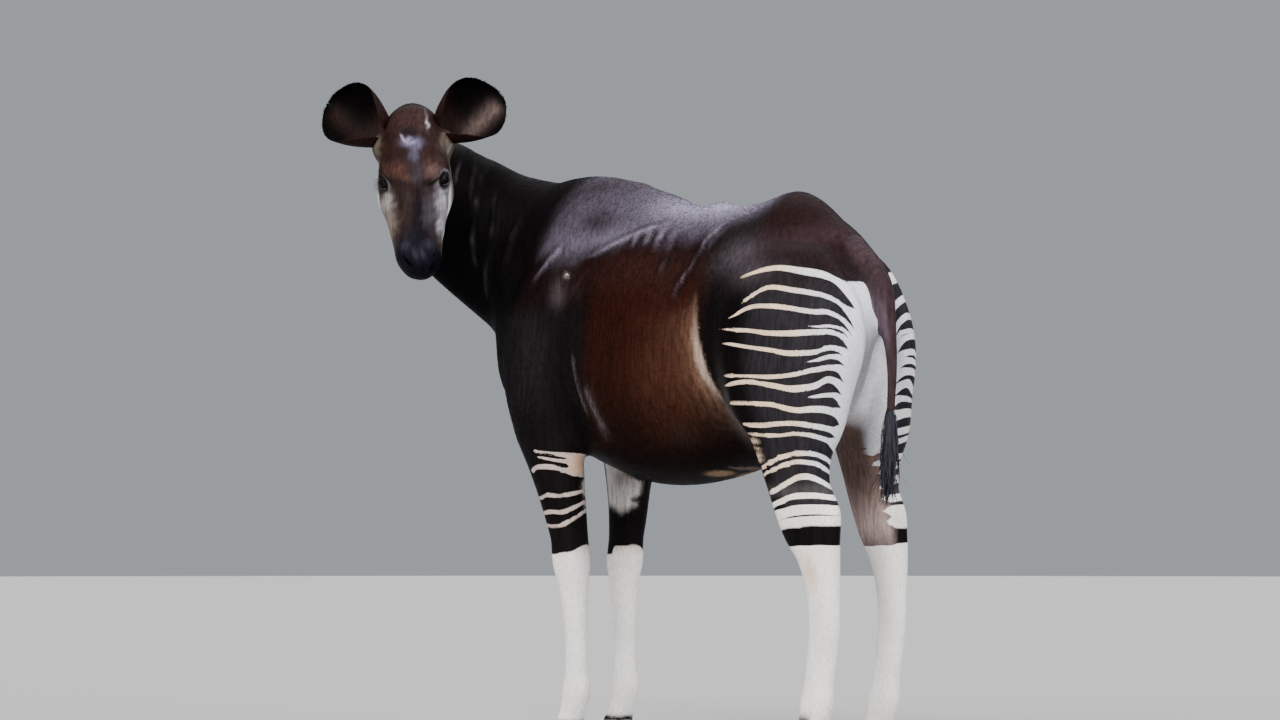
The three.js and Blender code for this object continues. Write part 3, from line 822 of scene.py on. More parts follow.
def sculptBody(p):
    # the height, in millimetres, that ridges and mounds add at body points in millimetres
    height = np.zeros(len(p))
    for high, width, sides, line in ridges.values():
        for side in sides:
            path = onSide(line, side)
            box = ((p > path.min(0) - 3 * width) & (p < path.max(0) + 3 * width)).all(1)
            d, share = nearLine(p[box], path)
            ends = ease(share, -0.02, 0.25) * (1 - ease(share, 0.75, 1.02))
            height[box] += high * hill(d, 0, width) * ends
    for centre, radii, high, sides in mounds.values():
        for side in sides:
            height += high * spread(p, onSide(centre, side), radii)
    x, z = p[:, 0], p[:, 2]
    lined = ease(z, 820, 900) * (1 - ease(z, 1240, 1360)) * ease(x, -190, -100) * (1 - ease(x, 150, 230))
    ribs = lined * (np.abs(p[:, 1]) > 120) * np.sin((x + 0.16 * z) / grooves["ribs"] * 2 * math.pi)
    low = ease(z, 700, 820) * (1 - ease(z, 880, 1000)) * hill(x, 20, 230)
    belly = low * np.sin((z + 30 * np.sin(x / 90)) / grooves["belly"] * 2 * math.pi)
    return height + grooves["rise"] * (ribs + belly)


def straightened(h):
    # the lips lie a little to the left of the head's middle plane: y - 17 ease(x, 436, 520)
    return h - np.stack([0 * h[:, 0], 17 * ease(h[:, 0], 436, 520), 0 * h[:, 0]], 1)


def overLips(h):  # the height above the line between the lips
    return h[:, 2] - mouth["row"] - mouth["slope"] * (h[:, 0] - mouth["middle"])


def sculptHead(h):
    h = straightened(h)
    height = np.zeros(len(h))
    for centre, radii, high in headMounds.values():
        for side in both if centre[1] else asGiven:
            height += high * spread(h, onSide(centre, side), radii)
    for side in both:
        d, share = nearLine(h, onSide(nostril["line"], side))
        height -= nostril["depth"] * hill(d, 0, nostril["width"] * (0.55 + 0.6 * share * (1.6 - share)))
    split = ease(h[:, 0], mouth["start"], mouth["start"] + 30)
    height -= mouth["depth"] * split * hill(overLips(h), 0, mouth["width"])
    height += 2 * ease(h[:, 0], 420, 460) * (hill(overLips(h), 9, 6) + hill(overLips(h), -9, 6))
    return height


def onEye(h, side):
    # a point's place across and up the eye's opening, and its height along the look, in millimetres
    return (h - onSide(eye["at"], side)) @ eyeAxes(side).T


def droopOf(across):  # how far the opening lies lowered
    return eye["droop"] * (across + eye["reach"]) / (2 * eye["reach"])


def openingShare(q):  # 0 at the middle of the eye's opening, 1 on its edge
    across, up = q[:, 0], q[:, 1] + droopOf(q[:, 0])
    room = np.where(up > 0, eye["high"], eye["low"]) * np.maximum(1 - (across / eye["reach"]) ** 2, 0.02)
    return np.where(np.abs(across) < eye["reach"], np.abs(up) / room, 9)


def sculptSkin(mesh):
    points, normals = pointsOf(mesh), normalsOf(mesh)
    h = toHead(points)
    onHead = inHeadBox(points)
    height = sculptBody(points * 1000) * ~onHead
    height[onHead] += sculptHead(h[onHead])
    points += normals * height[:, None] / 1000
    for side in both:
        q = onEye(h, side)
        share = openingShare(q)
        sunk = onHead & (share < 1) & (q[:, 2] > 0)
        crease = onHead * (q[:, 2] > 0) * hill(np.linalg.norm(q, axis=1), eye["radius"] + eye["lid"], 12)
        crease = crease * hill(q[:, 1], eye["high"] * (1 - 0.6 * (q[:, 0] / 30) ** 2) + 7, 2.6)
        look = headTurn @ eyeAxes(side)[2]
        points -= look * (sunk * eye["sunk"] + crease * eye["crease"])[:, None] / 1000
    putPoints(mesh, points)


sculptSkin(skinMesh)
print("skin is sculpted")

ear = {  # in the head's frame, given as if both were left; 1 is the left ear and -1 the right
    "root": (84, 75, 14),
    "length": 216,
    "axis": {1: (-0.56, 0.81, -0.14), -1: (-0.66, 0.73, -0.18)},
    "back": (-0.3, -0.1, -0.94),  # the way the ear's back looks
    "thickness": 4.6,
    "leaf": (38, 56),  # half the leaf's width at the root, and how much it gains further out
    "arc": (150, 68),  # half the angle that it wraps round, at the root and beyond the middle
    "folds": 1.6,  # height of the folds inside the cup
    "waves": 2.2,  # height of the waves of the rim
    "rows": 56,
    "columns": 72,
    "velvet": (0.0018, 0.0011, 0.0011),
    "cup": (0.026, 0.0125, 0.011),
    "slant": {1: (0.105, 0.073, 0.068), -1: (0.017, 0.0085, 0.0075)},  # a paler slant in the cup
}


def earAxes(side):
    axis = unit(np.array(ear["axis"][side]))
    return axis, unit(np.cross(axis, ear["back"]))


def earShape(side, turn, u):
    # A leaf carried round a cylinder's arc. turn goes from the outer face over the rim to the inner one.
    axis, across = earAxes(side)
    behind = np.cross(across, axis)
    narrow, gain = ear["leaf"]
    leaf = narrow + gain * np.sin(math.pi * np.minimum(1, u * 0.92)) ** 0.85
    tip = np.sqrt(np.maximum(0, 1 - np.clip((u - 0.5) / 0.5, 0, 1) ** 2.3))
    root = np.sqrt(1 - (1 - np.clip(u / 0.06, 0, 1)) ** 2)
    half = leaf * tip * root
    first, last = ear["arc"]
    arc = np.radians(first + (last - first) * np.clip(u / 0.55, 0, 1) ** 0.8)
    radius = half / np.sin(np.minimum(arc, math.pi / 2))
    sweep, face = np.cos(turn), np.sin(turn)
    thick = ear["thickness"] * (1 + 0.8 * (1 - u)) * np.minimum(1, root * (0.25 + tip))
    reach = radius - thick / 2 + thick / 2 * np.sign(face) * np.abs(face) ** 0.5
    folds = ear["folds"] * np.cos(sweep * 9) * (1 - u) * (face < 0) * (1 - sweep**4) * root
    rimWave = ear["waves"] * np.sin(7 * u + 1.3 * side) * sweep**3 * u
    angle = sweep * arc
    p = np.array(ear["root"]) + axis * (ear["length"] * u)[..., None]
    p = p + behind * ((reach - folds) * np.cos(angle) - radius + 24 - 22 * u**2 + rimWave)[..., None]
    p = p + across * ((reach - folds) * np.sin(angle))[..., None]
    return p * (1, side, 1)


def makeEar(side):
    share = 1 - (1 - np.linspace(0, 1, ear["rows"])) ** 1.25
    u, turn = np.meshgrid(share, roundTurns(ear["columns"]), indexing="ij")
    return fromHead(earShape(side, turn, u)).reshape(-1, 3), gridFaces(*u.shape)


def outward(points, faces):
    # turns the faces of a closed grid outwards, judged by the volume they enclose
    a, b, c = points[faces[:, 0]], points[faces[:, 1]], points[faces[:, 2]]
    middleOf = points.mean(0)
    volume = dot(a - middleOf, np.cross(b - middleOf, c - middleOf)).sum()
    return faces if volume > 0 else faces[:, ::-1]


def joinParts(parts, closed=True):
    # parts: pairs of points and four-cornered faces, which are turned outwards where the parts are closed
    starts = np.cumsum([0] + [len(p) for p, _ in parts[:-1]])
    points = np.concatenate([p for p, _ in parts])
    faces = [outward(p, f) if closed else f for p, f in parts]
    return points, np.concatenate([f + start for f, start in zip(faces, starts)])


def addEars(mesh):
    # the ears join the skin as two more closed surfaces that grow from inside the head
    ears = makeMesh("ears", *joinParts([makeEar(side) for side in both]))
    work = bmesh.new()
    work.from_mesh(mesh)
    work.from_mesh(ears)
    added = [v for v in work.verts if v.index >= len(mesh.vertices)]
    bmesh.ops.remove_doubles(work, verts=added, dist=1e-6)
    work.to_mesh(mesh)
    work.free()
    bpy.data.meshes.remove(ears)


skinCount = len(skinMesh.vertices)
addEars(skinMesh)
print("ears are joined:", len(skinMesh.vertices), "points")


# Markings. Each stripe is a row of heights in millimetres at the given turns about the leg's axis (0
# forward, 90 outward, 180 to the rear), then half its height at the width turns, then the turns at which
# it begins and ends.
widthTurns = (60, 140, 177)
allRound = (-999, 999)
hindTurns = (20, 60, 100, 140, 160, 170, 177, 183, 190, 205)
hindRows = [
    (1232, 1246, 1254, 1252, 1242, 1236, 1226, 1208, 1180, 1120, 4.3, 7.8, 11.3, 24, 999),
    (1135, 1180, 1205, 1197, 1187, 1177, 1158, 1112, 1060, 1010, 4.8, 6.5, 7, 42, 999),
    (1120, 1155, 1158, 1148, 1138, 1135, 1114, 1070, 1015, 965, 5.2, 6.5, 6.5, 28, 999),
    (1115, 1125, 1120, 1112, 1101, 1101, 1089, 1052, 1005, 955, 0, 2.6, 3.9, 146, 999),
    (1110, 1099, 1089, 1087, 1089, 1086, 1072, 1037, 990, 945, 4.8, 7.8, 6.1, 22, 999),
    (1074, 1057, 1046, 1034, 1038, 1047, 1034, 1008, 970, 925, 4.3, 7, 5.7, 20, 999),
    (1035, 1022, 1015, 1010, 1018, 1026, 1020, 993, 955, 905, 0, 4.8, 5.7, 146, 999),
    (988, 982, 978, 984, 994, 998, 992, 968, 935, 890, 3.9, 5.7, 6.5, 16, 999),
    (963, 969, 957, 946, 954, 969, 958, 940, 912, 868, 5.7, 9.1, 8.3, 14, 999),
    (942, 940, 932, 924, 927, 930, 928, 916, 895, 852, 0, 3.9, 5.7, 146, 999),
    (919, 914, 908, 893, 895, 893, 888, 883, 866, 835, 5.2, 7.4, 8.7, 10, 999),
    (864, 857, 860, 859, 853, 849, 845, 840, 836, 815, 5.2, 6.1, 7, 20, 999),
    (842, 834, 832, 835, 829, 823, 818, 815, 811, 795, 4.3, 4.8, 6.1, 20, 999),
    (742, 760, 777, 785, 785, 782, 778, 774, 769, 762, 5.2, 6.1, 5.7, 26, 999),
    (731, 744, 757, 766, 763, 760, 755, 750, 744, 738, 4.3, 6.1, 5.7, 26, 999),
    (684, 695, 712, 728, 727, 721, 716, 711, 706, 700, 6.1, 7.4, 7.4, 24, 999),
    (655, 666, 677, 681, 681, 680, 678, 677, 676, 676, 6.1, 7, 7, *allRound),
    (632, 638, 644, 647, 647, 646, 645, 644, 644, 643, 13, 13, 13, *allRound),
    (606, 612, 615, 618, 618, 618, 618, 618, 618, 618, 12, 12, 12, *allRound),
]
hindBands = ((512, 60), (430, 200), (150, 280))  # below them: level all round, as height and half height
frontBars = ((822, 817), (804, 799), (785, 782), (768, 771))  # heights at the turns 10 and 55
foreTurns = (55, 90, 130, 170, 195)
foreRows = [
    (812, 809, 803, 796, 791, 4, 5, 5, 84, 230),
    (797, 795, 788, 781, 773, 3.5, 4, 5, 88, 230),
    (757, 769, 767, 753, 748, 6, 7, 7, 44, 240),
    (684, 691, 688, 697, 703, 5, 5.5, 5, 30, 240),
    (643, 646, 646, 660, 672, 5, 6, 5.5, 20, 240),
    (610, 609, 614, 634, 650, 5, 6, 5.5, 20, 240),
    (520, 522, 526, 540, 545, 12, 12, 12, *allRound),
    (485, 487, 490, 500, 505, 60, 60, 60, *allRound),
]
foreBands = ((400, 200), (150, 250))
for bands, turns, rows in ((hindBands, hindTurns, hindRows), (foreBands, foreTurns, foreRows)):
    rows += [(height,) * len(turns) + (half,) * len(widthTurns) + allRound for height, half in bands]


def stationAt(plan, z):  # x and y of a leg's path at each height, in millimetres
    rows = np.array([r[:3] for r in legRows(plan).values()], float)[::-1]
    return np.interp(z, rows[:, 2], rows[:, 0]), np.interp(z, rows[:, 2], rows[:, 1])


def turnAbout(points, plan):  # degrees about a leg's axis, from -90 to 270
    x, y = stationAt(plan, points[:, 2])
    return (np.degrees(np.arctan2((points[:, 1] - y) * plan[1], points[:, 0] - x)) + 90) % 360 - 90


def smoothLook(x, xs, ys):  # a cubic through table values, with slopes by differences, level outside
    xs, ys = np.asarray(xs, float), np.asarray(ys, float)
    slope = np.gradient(ys, xs)
    i = np.clip(np.searchsorted(xs, x) - 1, 0, len(xs) - 2)
    span = xs[i + 1] - xs[i]
    f = np.clip((x - xs[i]) / span, 0, 1)
    start, end = (2 * f**3 - 3 * f**2 + 1) * ys[i], (3 * f**2 - 2 * f**3) * ys[i + 1]
    return start + end + ((f**3 - 2 * f**2 + f) * slope[i] + (f**3 - f**2) * slope[i + 1]) * span


def stripesOf(points, turn, turns, rows, wave):
    # phase: 1, 2, 3 ... on the stripes' middles; reach: the share of a gap that the stripe's half fills
    z = points[:, 2]
    number = np.arange(len(rows))[:, None]
    heights = np.stack([smoothLook(turn, turns, r[:-5]) for r in rows])
    heights = heights + wave * 2.5 * np.sin(number * 2.4 + turn / 17)
    heights = np.minimum.accumulate(heights - number * 0.05, axis=0)
    widths = np.stack([np.interp(turn, widthTurns, r[-5:-2]) for r in rows])
    spans = [(r[-2], r[-1]) for r in rows]
    begun = np.stack([ease(turn, a + 1, a + 20) * (1 - ease(turn, b - 16, b)) for a, b in spans])
    half = widths * begun * (1 + wave * 0.3 * np.sin(number * 1.7 + turn / 11))
    above = z >= heights[0]
    phase = np.where(above, 1 - np.clip((z - heights[0]) / 60, 0, 0.5), 0.5)
    reach = np.where(above, half[0] / 60, 0.7)
    for k in range(len(rows) - 1):
        gap = heights[k] - heights[k + 1]
        inCell = (z < heights[k]) & (z >= heights[k + 1])
        f = np.clip((heights[k] - z) / gap, 0, 1)
        share = ease(f, 0.25, 0.75)
        phase = np.where(inCell, k + 1 + f, phase)
        reach = np.where(inCell, ((1 - share) * half[k] + share * half[k + 1]) / gap, reach)
    phase = np.where(z < heights[-1], len(rows) + np.clip((heights[-1] - z) / 150, 0, 0.5), phase)
    return phase, reach


def paint(colours, weight, colour):
    return colours + (np.asarray(colour) - colours) * np.clip(weight, 0, 1)[:, None]


coatColours = {
    "trunk": (0.0056, 0.0026, 0.0025),
    "maroon": (0.0165, 0.0040, 0.0022),
    "ribs": (0.030, 0.0090, 0.0062),
    "lowFlank": (0.047, 0.0175, 0.0105),
    "gold": (0.150, 0.076, 0.046),
    # a painted highlight on the edge of the flank's fold
    "flankFoldHighlight": (0.84, 0.64, 0.53),
    # back and loin: a painted grey sheen on the back, brightest on the loin
    "back": (0.060, 0.049, 0.068),
    "loin": (0.280, 0.245, 0.345),
    # painted shade on the thigh's front
    "thighShade": (0.0030, 0.0021, 0.0024),
    "croup": (0.0115, 0.0045, 0.0044),
    # painted grey sheen on the croup's top
    "croupSheen": (0.044, 0.023, 0.027),
    # painted grey sheen on the hip
    "hipSheen": (0.062, 0.051, 0.060),
    # the haunch's dark coat, greyed by a painted bluish sheen
    "haunch": (0.0185, 0.0165, 0.0200),
    "neck": (0.0024, 0.0018, 0.0022),
    "crest": (0.0030, 0.0016, 0.0017),
    # painted highlights on the neck's folds
    "fold": (0.056, 0.046, 0.058),
    # a painted grey sheen on the upper arm
    "upperArm": (0.0105, 0.0088, 0.0108),
    "leg": (0.0050, 0.0038, 0.0042),
    "belly": (0.0028, 0.0013, 0.0012),
    "bellyPatch": (0.30, 0.19, 0.115),
    "tail": (0.0340, 0.0200, 0.0235),
    "tailSide": (0.066, 0.048, 0.060),
    "innerHaunch": (0.34, 0.325, 0.34),
    "innerGaskin": (0.130, 0.086, 0.074),
    "hock": (0.40, 0.30, 0.285),
    # painted sheen on the elbow's folds
    "elbowFold": (0.105, 0.084, 0.092),
    "garter": (0.0045, 0.0035, 0.0040),
    "sheen": (0.115, 0.096, 0.130),
    "withers": (0.022, 0.014, 0.018),
    "bladeHollow": (0.018, 0.012, 0.015),
    # painted highlights on the ridges of the shoulder, the ribs and the hip
    "ridgeHighlight": (0.210, 0.178, 0.240),
    "ribHighlight": (0.200, 0.167, 0.220),
    "hipHighlight": (0.150, 0.128, 0.160),
    "shoulder": (0.034, 0.021, 0.021),
    "scar": (0.80, 0.72, 0.70),
    "underShoulder": (0.0090, 0.0048, 0.0046),
    # a painted grey sheen on top of the upper arm
    "armTopSheen": (0.056, 0.041, 0.047),
    "ribShadow": (0.0075, 0.0036, 0.0038),
    # painted shade low on the ribs
    "lowRibShade": (0.0075, 0.0022, 0.0018),
    "groin": (0.024, 0.0150, 0.0140),
    "gaskinRing": (0.075, 0.065, 0.066),
    "wedgeBrown": (0.120, 0.066, 0.038),
}
paleColours = {
    "cream": (0.80, 0.60, 0.44),
    "white": (0.90, 0.86, 0.82),
    "rear": (0.66, 0.66, 0.72),
    "foreStripe": (0.46, 0.37, 0.34),
    "stocking": (0.84, 0.80, 0.77),
    "tan": (0.66, 0.42, 0.27),
    "innerForeleg": (0.66, 0.62, 0.60),
}
patches = {  # soft patches of the colour that they are named after: centre, radii, strength, power
    "flank": {
        "ribs": ((40, 200, 1290), (190, 120, 56), 0.8, 2),
        "lowFlank": ((-130, 230, 985), (95, 90, 150), 0.75, 2),
    },
    # the back's painted grey sheen, brightest on the loin, with darker spots at the withers and over the
    # blade
    "back": {
        "sheen": ((180, 130, 1385), (150, 90, 28), 0.75, 2),
        "loin": ((-150, 50, 1462), (200, 120, 46), 0.9, 2),
        "withers": ((330, 40, 1530), (110, 60, 30), 0.8, 2),
        "bladeHollow": ((250, 110, 1430), (60, 60, 34), 0.75, 2),
    },
    "rump": {
        # painted grey sheen on the hip and on the croup's top
        "hipSheen": ((-350, 160, 1292), (80, 90, 58), 0.85, 2),
        "croupSheen": ((-560, 90, 1345), (110, 90, 30), 0.55, 2),
    },
    "low": {
        # painted shade low on the ribs
        "lowRibShade": ((30, 220, 870), (120, 90, 80), 0.7, 2),
        "groin": ((-175, 180, 845), (40, 90, 30), 0.5, 2),
        # painted shade on the thigh's front, behind the flank's fold
        "thighShade": ((-315, 215, 1120), (52, 90, 170), 0.92, 3),
    },
    "haunch": {
        # painted grey sheen on the hip
        "hipSheen": ((-430, 200, 1262), (80, 90, 40), 0.75, 2),
        "croup": ((-640, 150, 1275), (50, 90, 26), 0.7, 2),
    },
}
sheenRows = {  # the lower edge of the back's grey sheen: x and height
    "x": (-420, -280, -237, -209, -151, -43, 38, 114, 205, 305, 351, 470, 560),
    "height": (1470, 1408, 1385, 1352, 1350, 1366, 1376, 1366, 1352, 1328, 1330, 1350, 1480),
}


def paintPatches(p, colour, group):
    for name, (centre, radii, strength, power) in patches[group].items():
        colour = paint(colour, strength * spread(p, centre, radii, power), coatColours[name])
    return colour


def evenly(colour, p):
    return np.broadcast_to(colour, p.shape).copy()


def paintFlank(p, colour):
    # brown ribs, and along the flank's fold streaked gold hair with a painted highlight on its edge
    c, x, z = coatColours, p[:, 0], p[:, 2]
    flank = ease(z, 760, 900) * (1 - ease(z, 1190, 1330)) * ease(x, -300, -190) * (1 - ease(x, 110, 240))
    colour = paint(colour, flank, c["maroon"])
    colour = paintPatches(p, colour, "flank")
    fold = ridges["flankFold"][3]
    d, share = nearLine(p, fold)
    ahead = ease(x - np.interp(z, *np.array(fold)[::-1, [2, 0]].T), -7, 7)
    middleOf = ease(share, 0.08, 0.4) * (1 - ease(share, 0.66, 0.95))
    streak = 0.5 + 0.5 * np.sin(d / 4.2 + 2.5 * np.sin(z / 70) + 1.3 * np.sin(z / 23 + x / 31))
    colour = paint(colour, 0.9 * ahead * middleOf * hill(d, 0, 74) * (0.55 + 0.45 * streak), c["gold"])
    # a painted highlight on the fold's edge
    bright = hill(share, 0.5, 0.17) * hill(d, 6, 22) + 0.5 * hill(share, 0.62, 0.14) * hill(d, 0, 14)
    return paint(colour, 0.9 * ahead * bright * (0.7 + 0.3 * streak), c["flankFoldHighlight"])


def paintRidgeHighlights(p, colour, onLeft):
    # painted highlights as pale lines on the ridges of shoulder and ribs, with painted shade beside them
    c, x, z = coatColours, p[:, 0], p[:, 2]
    fainter = 0.35 + 0.65 * onLeft
    for name, strength in (("bladeFront", 0.85), ("bladeMid", 0.8), ("bladeLow", 0.7), ("sheenRim", 0.7)):
        d, share = nearLine(p, ridges[name][3])
        ends = ease(share, 0, 0.3) * (1 - ease(share, 0.55, 1)) * fainter
        colour = paint(colour, strength * hill(d, 0, 6.5) * ends, c["ridgeHighlight"])
        colour = paint(colour, 0.35 * hill(d, 22, 9) * ends, c["trunk"])
    for name in ("rib1", "rib2", "rib3", "rib4"):
        d, share = nearLine(p, ridges[name][3])
        broken = (0.7 + 0.3 * np.sin(z / 9 + x / 5)) * fainter
        colour = paint(colour, 0.7 * broken * hill(d, 0, 8) * (1 - ease(share, 0.5, 1)), c["ribHighlight"])
        colour = paint(colour, 0.7 * hill(d, 17, 7) * hill(share, 0.55, 0.4), c["trunk"])
    return colour


def paintTrunk(p, onLeft):
    # p in millimetres, mirrored to the animal's left; onLeft tells the true side
    c, x, z = coatColours, p[:, 0], p[:, 2]
    colour = paintFlank(p, evenly(c["trunk"], p))
    # above this row the back gets a painted grey sheen
    sheenRow = np.interp(x, *sheenRows.values()) + 9 * np.sin(x / 31) + 7 * np.sin(x / 13 + z / 40)
    above = ease(z, sheenRow - 34, sheenRow + 34) * ease(x, -470, -330) * (1 - ease(x, 400, 500))
    colour = paint(colour, 0.9 * above, c["back"])
    colour = paintPatches(p, colour, "back")
    colour = paintRidgeHighlights(p, colour, onLeft)
    shoulder = spread(p, (268, 178, 1246), (34, 60, 36)) * (0.6 + 0.4 * np.sin(x / 7 + z / 11))
    colour = paint(colour, 0.6 * shoulder, c["shoulder"])
    colour = paint(colour, 0.85 * onLeft * spread(p, (312, 162, 1286), (4.5, 60, 5.5)), c["scar"])
    colour = paint(colour, 0.6 * spread(p, (276, 195, 1190), (46, 80, 70)), c["underShoulder"])
    # a painted grey sheen on top of the upper arm
    colour = paint(colour, 0.8 * onLeft * spread(p, (338, 172, 1236), (27, 60, 42)), c["armTopSheen"])
    colour = paint(colour, ease(-x, 340, 420) * ease(z, 1150, 1240), c["croup"])
    # a painted highlight along the hip's ridge, with painted shade beside it
    d, share = nearLine(p, ridges["hip"][3])
    line = hill(d, 0, 5.5) * ease(share, 0, 0.25) * (1 - ease(share, 0.6, 0.98))
    colour = paint(colour, 0.75 * line, c["hipHighlight"])
    beside = hill(d, 15, 7) * ease(share, 0.35, 0.6) * (1 - ease(share, 0.8, 1))
    colour = paint(colour, 0.5 * beside, c["trunk"])
    # painted grey sheen on the hip and on the croup's top
    colour = paintPatches(p, colour, "rump")
    mottle = 0.5 + 0.5 * np.sin(x / 19 + 2.2 * np.sin(z / 23)) * np.sin(z / 17 + 1.7 * np.sin(x / 29))
    colour = paint(colour, 0.75 * spread(p, (130, 180, 1290), (210, 100, 46)) * mottle, c["ribShadow"])
    # painted shade low on the ribs and on the thigh's front
    colour = paintPatches(p, colour, "low")
    colour = paint(colour, 0.6 * (1 - ease(z, 740, 830)), c["belly"])
    pale = spread(p, (-165, 52, 742), (42, 40, 11), 6) * (z < 800)
    return paint(colour, 0.85 * pale, c["bellyPatch"])


def paintNeck(p, colour, weight):
    # black, a browner crest, and painted highlights as pale broken lines on the folds
    c, x, z = coatColours, p[:, 0], p[:, 2]
    shade = evenly(c["neck"], p)
    crestRow = np.interp(x, [300, 450, 600, 700, 800], [1545, 1540, 1550, 1590, 1700])
    shade = paint(shade, 0.9 * ease(z, crestRow - 75, crestRow), c["crest"])
    for name, (high, width, _, line) in ridges.items():
        if name.startswith("neckFold"):
            d, share = nearLine(p, line)
            broken = 0.72 + 0.28 * np.sin(z / 13 + 3 * high)
            ends = ease(share, 0, 0.3) * (1 - ease(share, 0.7, 1))
            shade = paint(shade, 0.9 * broken * hill(d, 0, width * 0.62) * ends, c["fold"])
    return paint(colour, weight, shade)


def paintHindleg(p, turn, colour, weight):
    # dark outside with painted sheen and painted shade in front, white and brown inside; stripes lie over it
    c, z = coatColours, p[:, 2]
    outer = ease(turn, -20, 30) * (1 - ease(turn, 195, 215))
    inner = 1 - outer
    # the haunch's dark coat, greyed by a painted bluish sheen
    shade = evenly(c["haunch"], p)
    # painted shade on the front of the thigh
    shade = paint(shade, 1 - ease(turn, 40, 80), c["thighShade"])
    shade = paint(shade, ease(z, 1170, 1250), blend(np.array(c["haunch"]), np.array(c["croup"]), 0.6))
    # painted grey sheen on the hip, then the croup's maroon
    shade = paintPatches(p, shade, "haunch")
    shade = paint(shade, inner * ease(z, 700, 800) * (1 - ease(z, 1130, 1225)), c["innerHaunch"])
    brownRow = 880 + 26 * np.sin(turn / 21)
    brown = inner * ease(z, 600, 690) * (1 - ease(z, brownRow - 16, brownRow + 16))
    shade = paint(shade, brown, c["innerGaskin"])
    front = inner * (1 - ease(turn, -60, 10)) * (turn < 90) * ease(z, 700, 900)
    shade = paint(shade, front, c["innerGaskin"])
    for first, last in frontBars:
        bar = hill(z, first + (last - first) * (turn - 10) / 45, 3.4)
        shade = paint(shade, bar * ease(turn, 4, 14) * (1 - ease(turn, 34, 58)), paleColours["cream"])
    shade = paint(shade, 0.55 * hill(z, 693, 16) * outer, c["gaskinRing"])
    shade = paint(shade, (z < 640) * 1.0, c["garter"])
    shade = paint(shade, hill(z, 615, 62) * inner * 0.9, c["hock"])
    return paint(colour, weight, shade)


def paintElbowFoldSheen(p, colour):
    # painted sheen in pale broken strands along the elbow's folds
    for name, width in (("elbowFold", 8), ("elbowFold2", 17)):
        d, share = nearLine(p, ridges[name][3])
        strands = 0.6 + 0.4 * np.sin(p[:, 0] / 2.6 + p[:, 2] / 11)
        ends = ease(share, 0, 0.3) * (1 - ease(share, 0.75, 1))
        colour = paint(colour, 0.8 * strands * hill(d, 0, width) * ends, coatColours["elbowFold"])
    return colour


def paintForeleg(p, turn, plan, colour, weight):
    # dark, with a white inner side that wedges of dark hair reach into
    c, z = coatColours, p[:, 2]
    shade = evenly(c["leg"], p)
    # a painted grey sheen on the upper arm
    shade = paint(shade, 0.8 * ease(z, 860, 960) * spread(p, (420, 200, 1080), (70, 90, 190)), c["upperArm"])
    inner = ease(turn, 186, 206) + (1 - ease(turn, -62, -42)) * (turn < 90)
    low = 656 + 9 * np.sin(turn / 14)
    x, y = stationAt(plan, z)
    onLeg = 1 - ease(np.hypot(p[:, 0] - x, p[:, 1] - np.abs(y)), 78, 96)
    white = ease(z, low - 12, low + 16) * (1 - ease(z, 800, 850)) * inner * onLeg
    shade = paint(shade, 0.92 * white, paleColours["innerForeleg"])
    shade = paint(shade, 0.6 * white * hill(z, 742, 24) * hill(turn, 236, 24), c["wedgeBrown"])
    for row, half, tip in ((743, 21, 52), (676, 20, 38)):  # dark wedges that reach in from the rear
        room = half * (1 - (turn - 186) / tip) - np.abs(z - row - 0.25 * (turn - 186))
        shade = paint(shade, 0.95 * ease(room, -3, 5) * (turn > 170) * onLeg, c["leg"])
    return paint(colour, weight, shade)


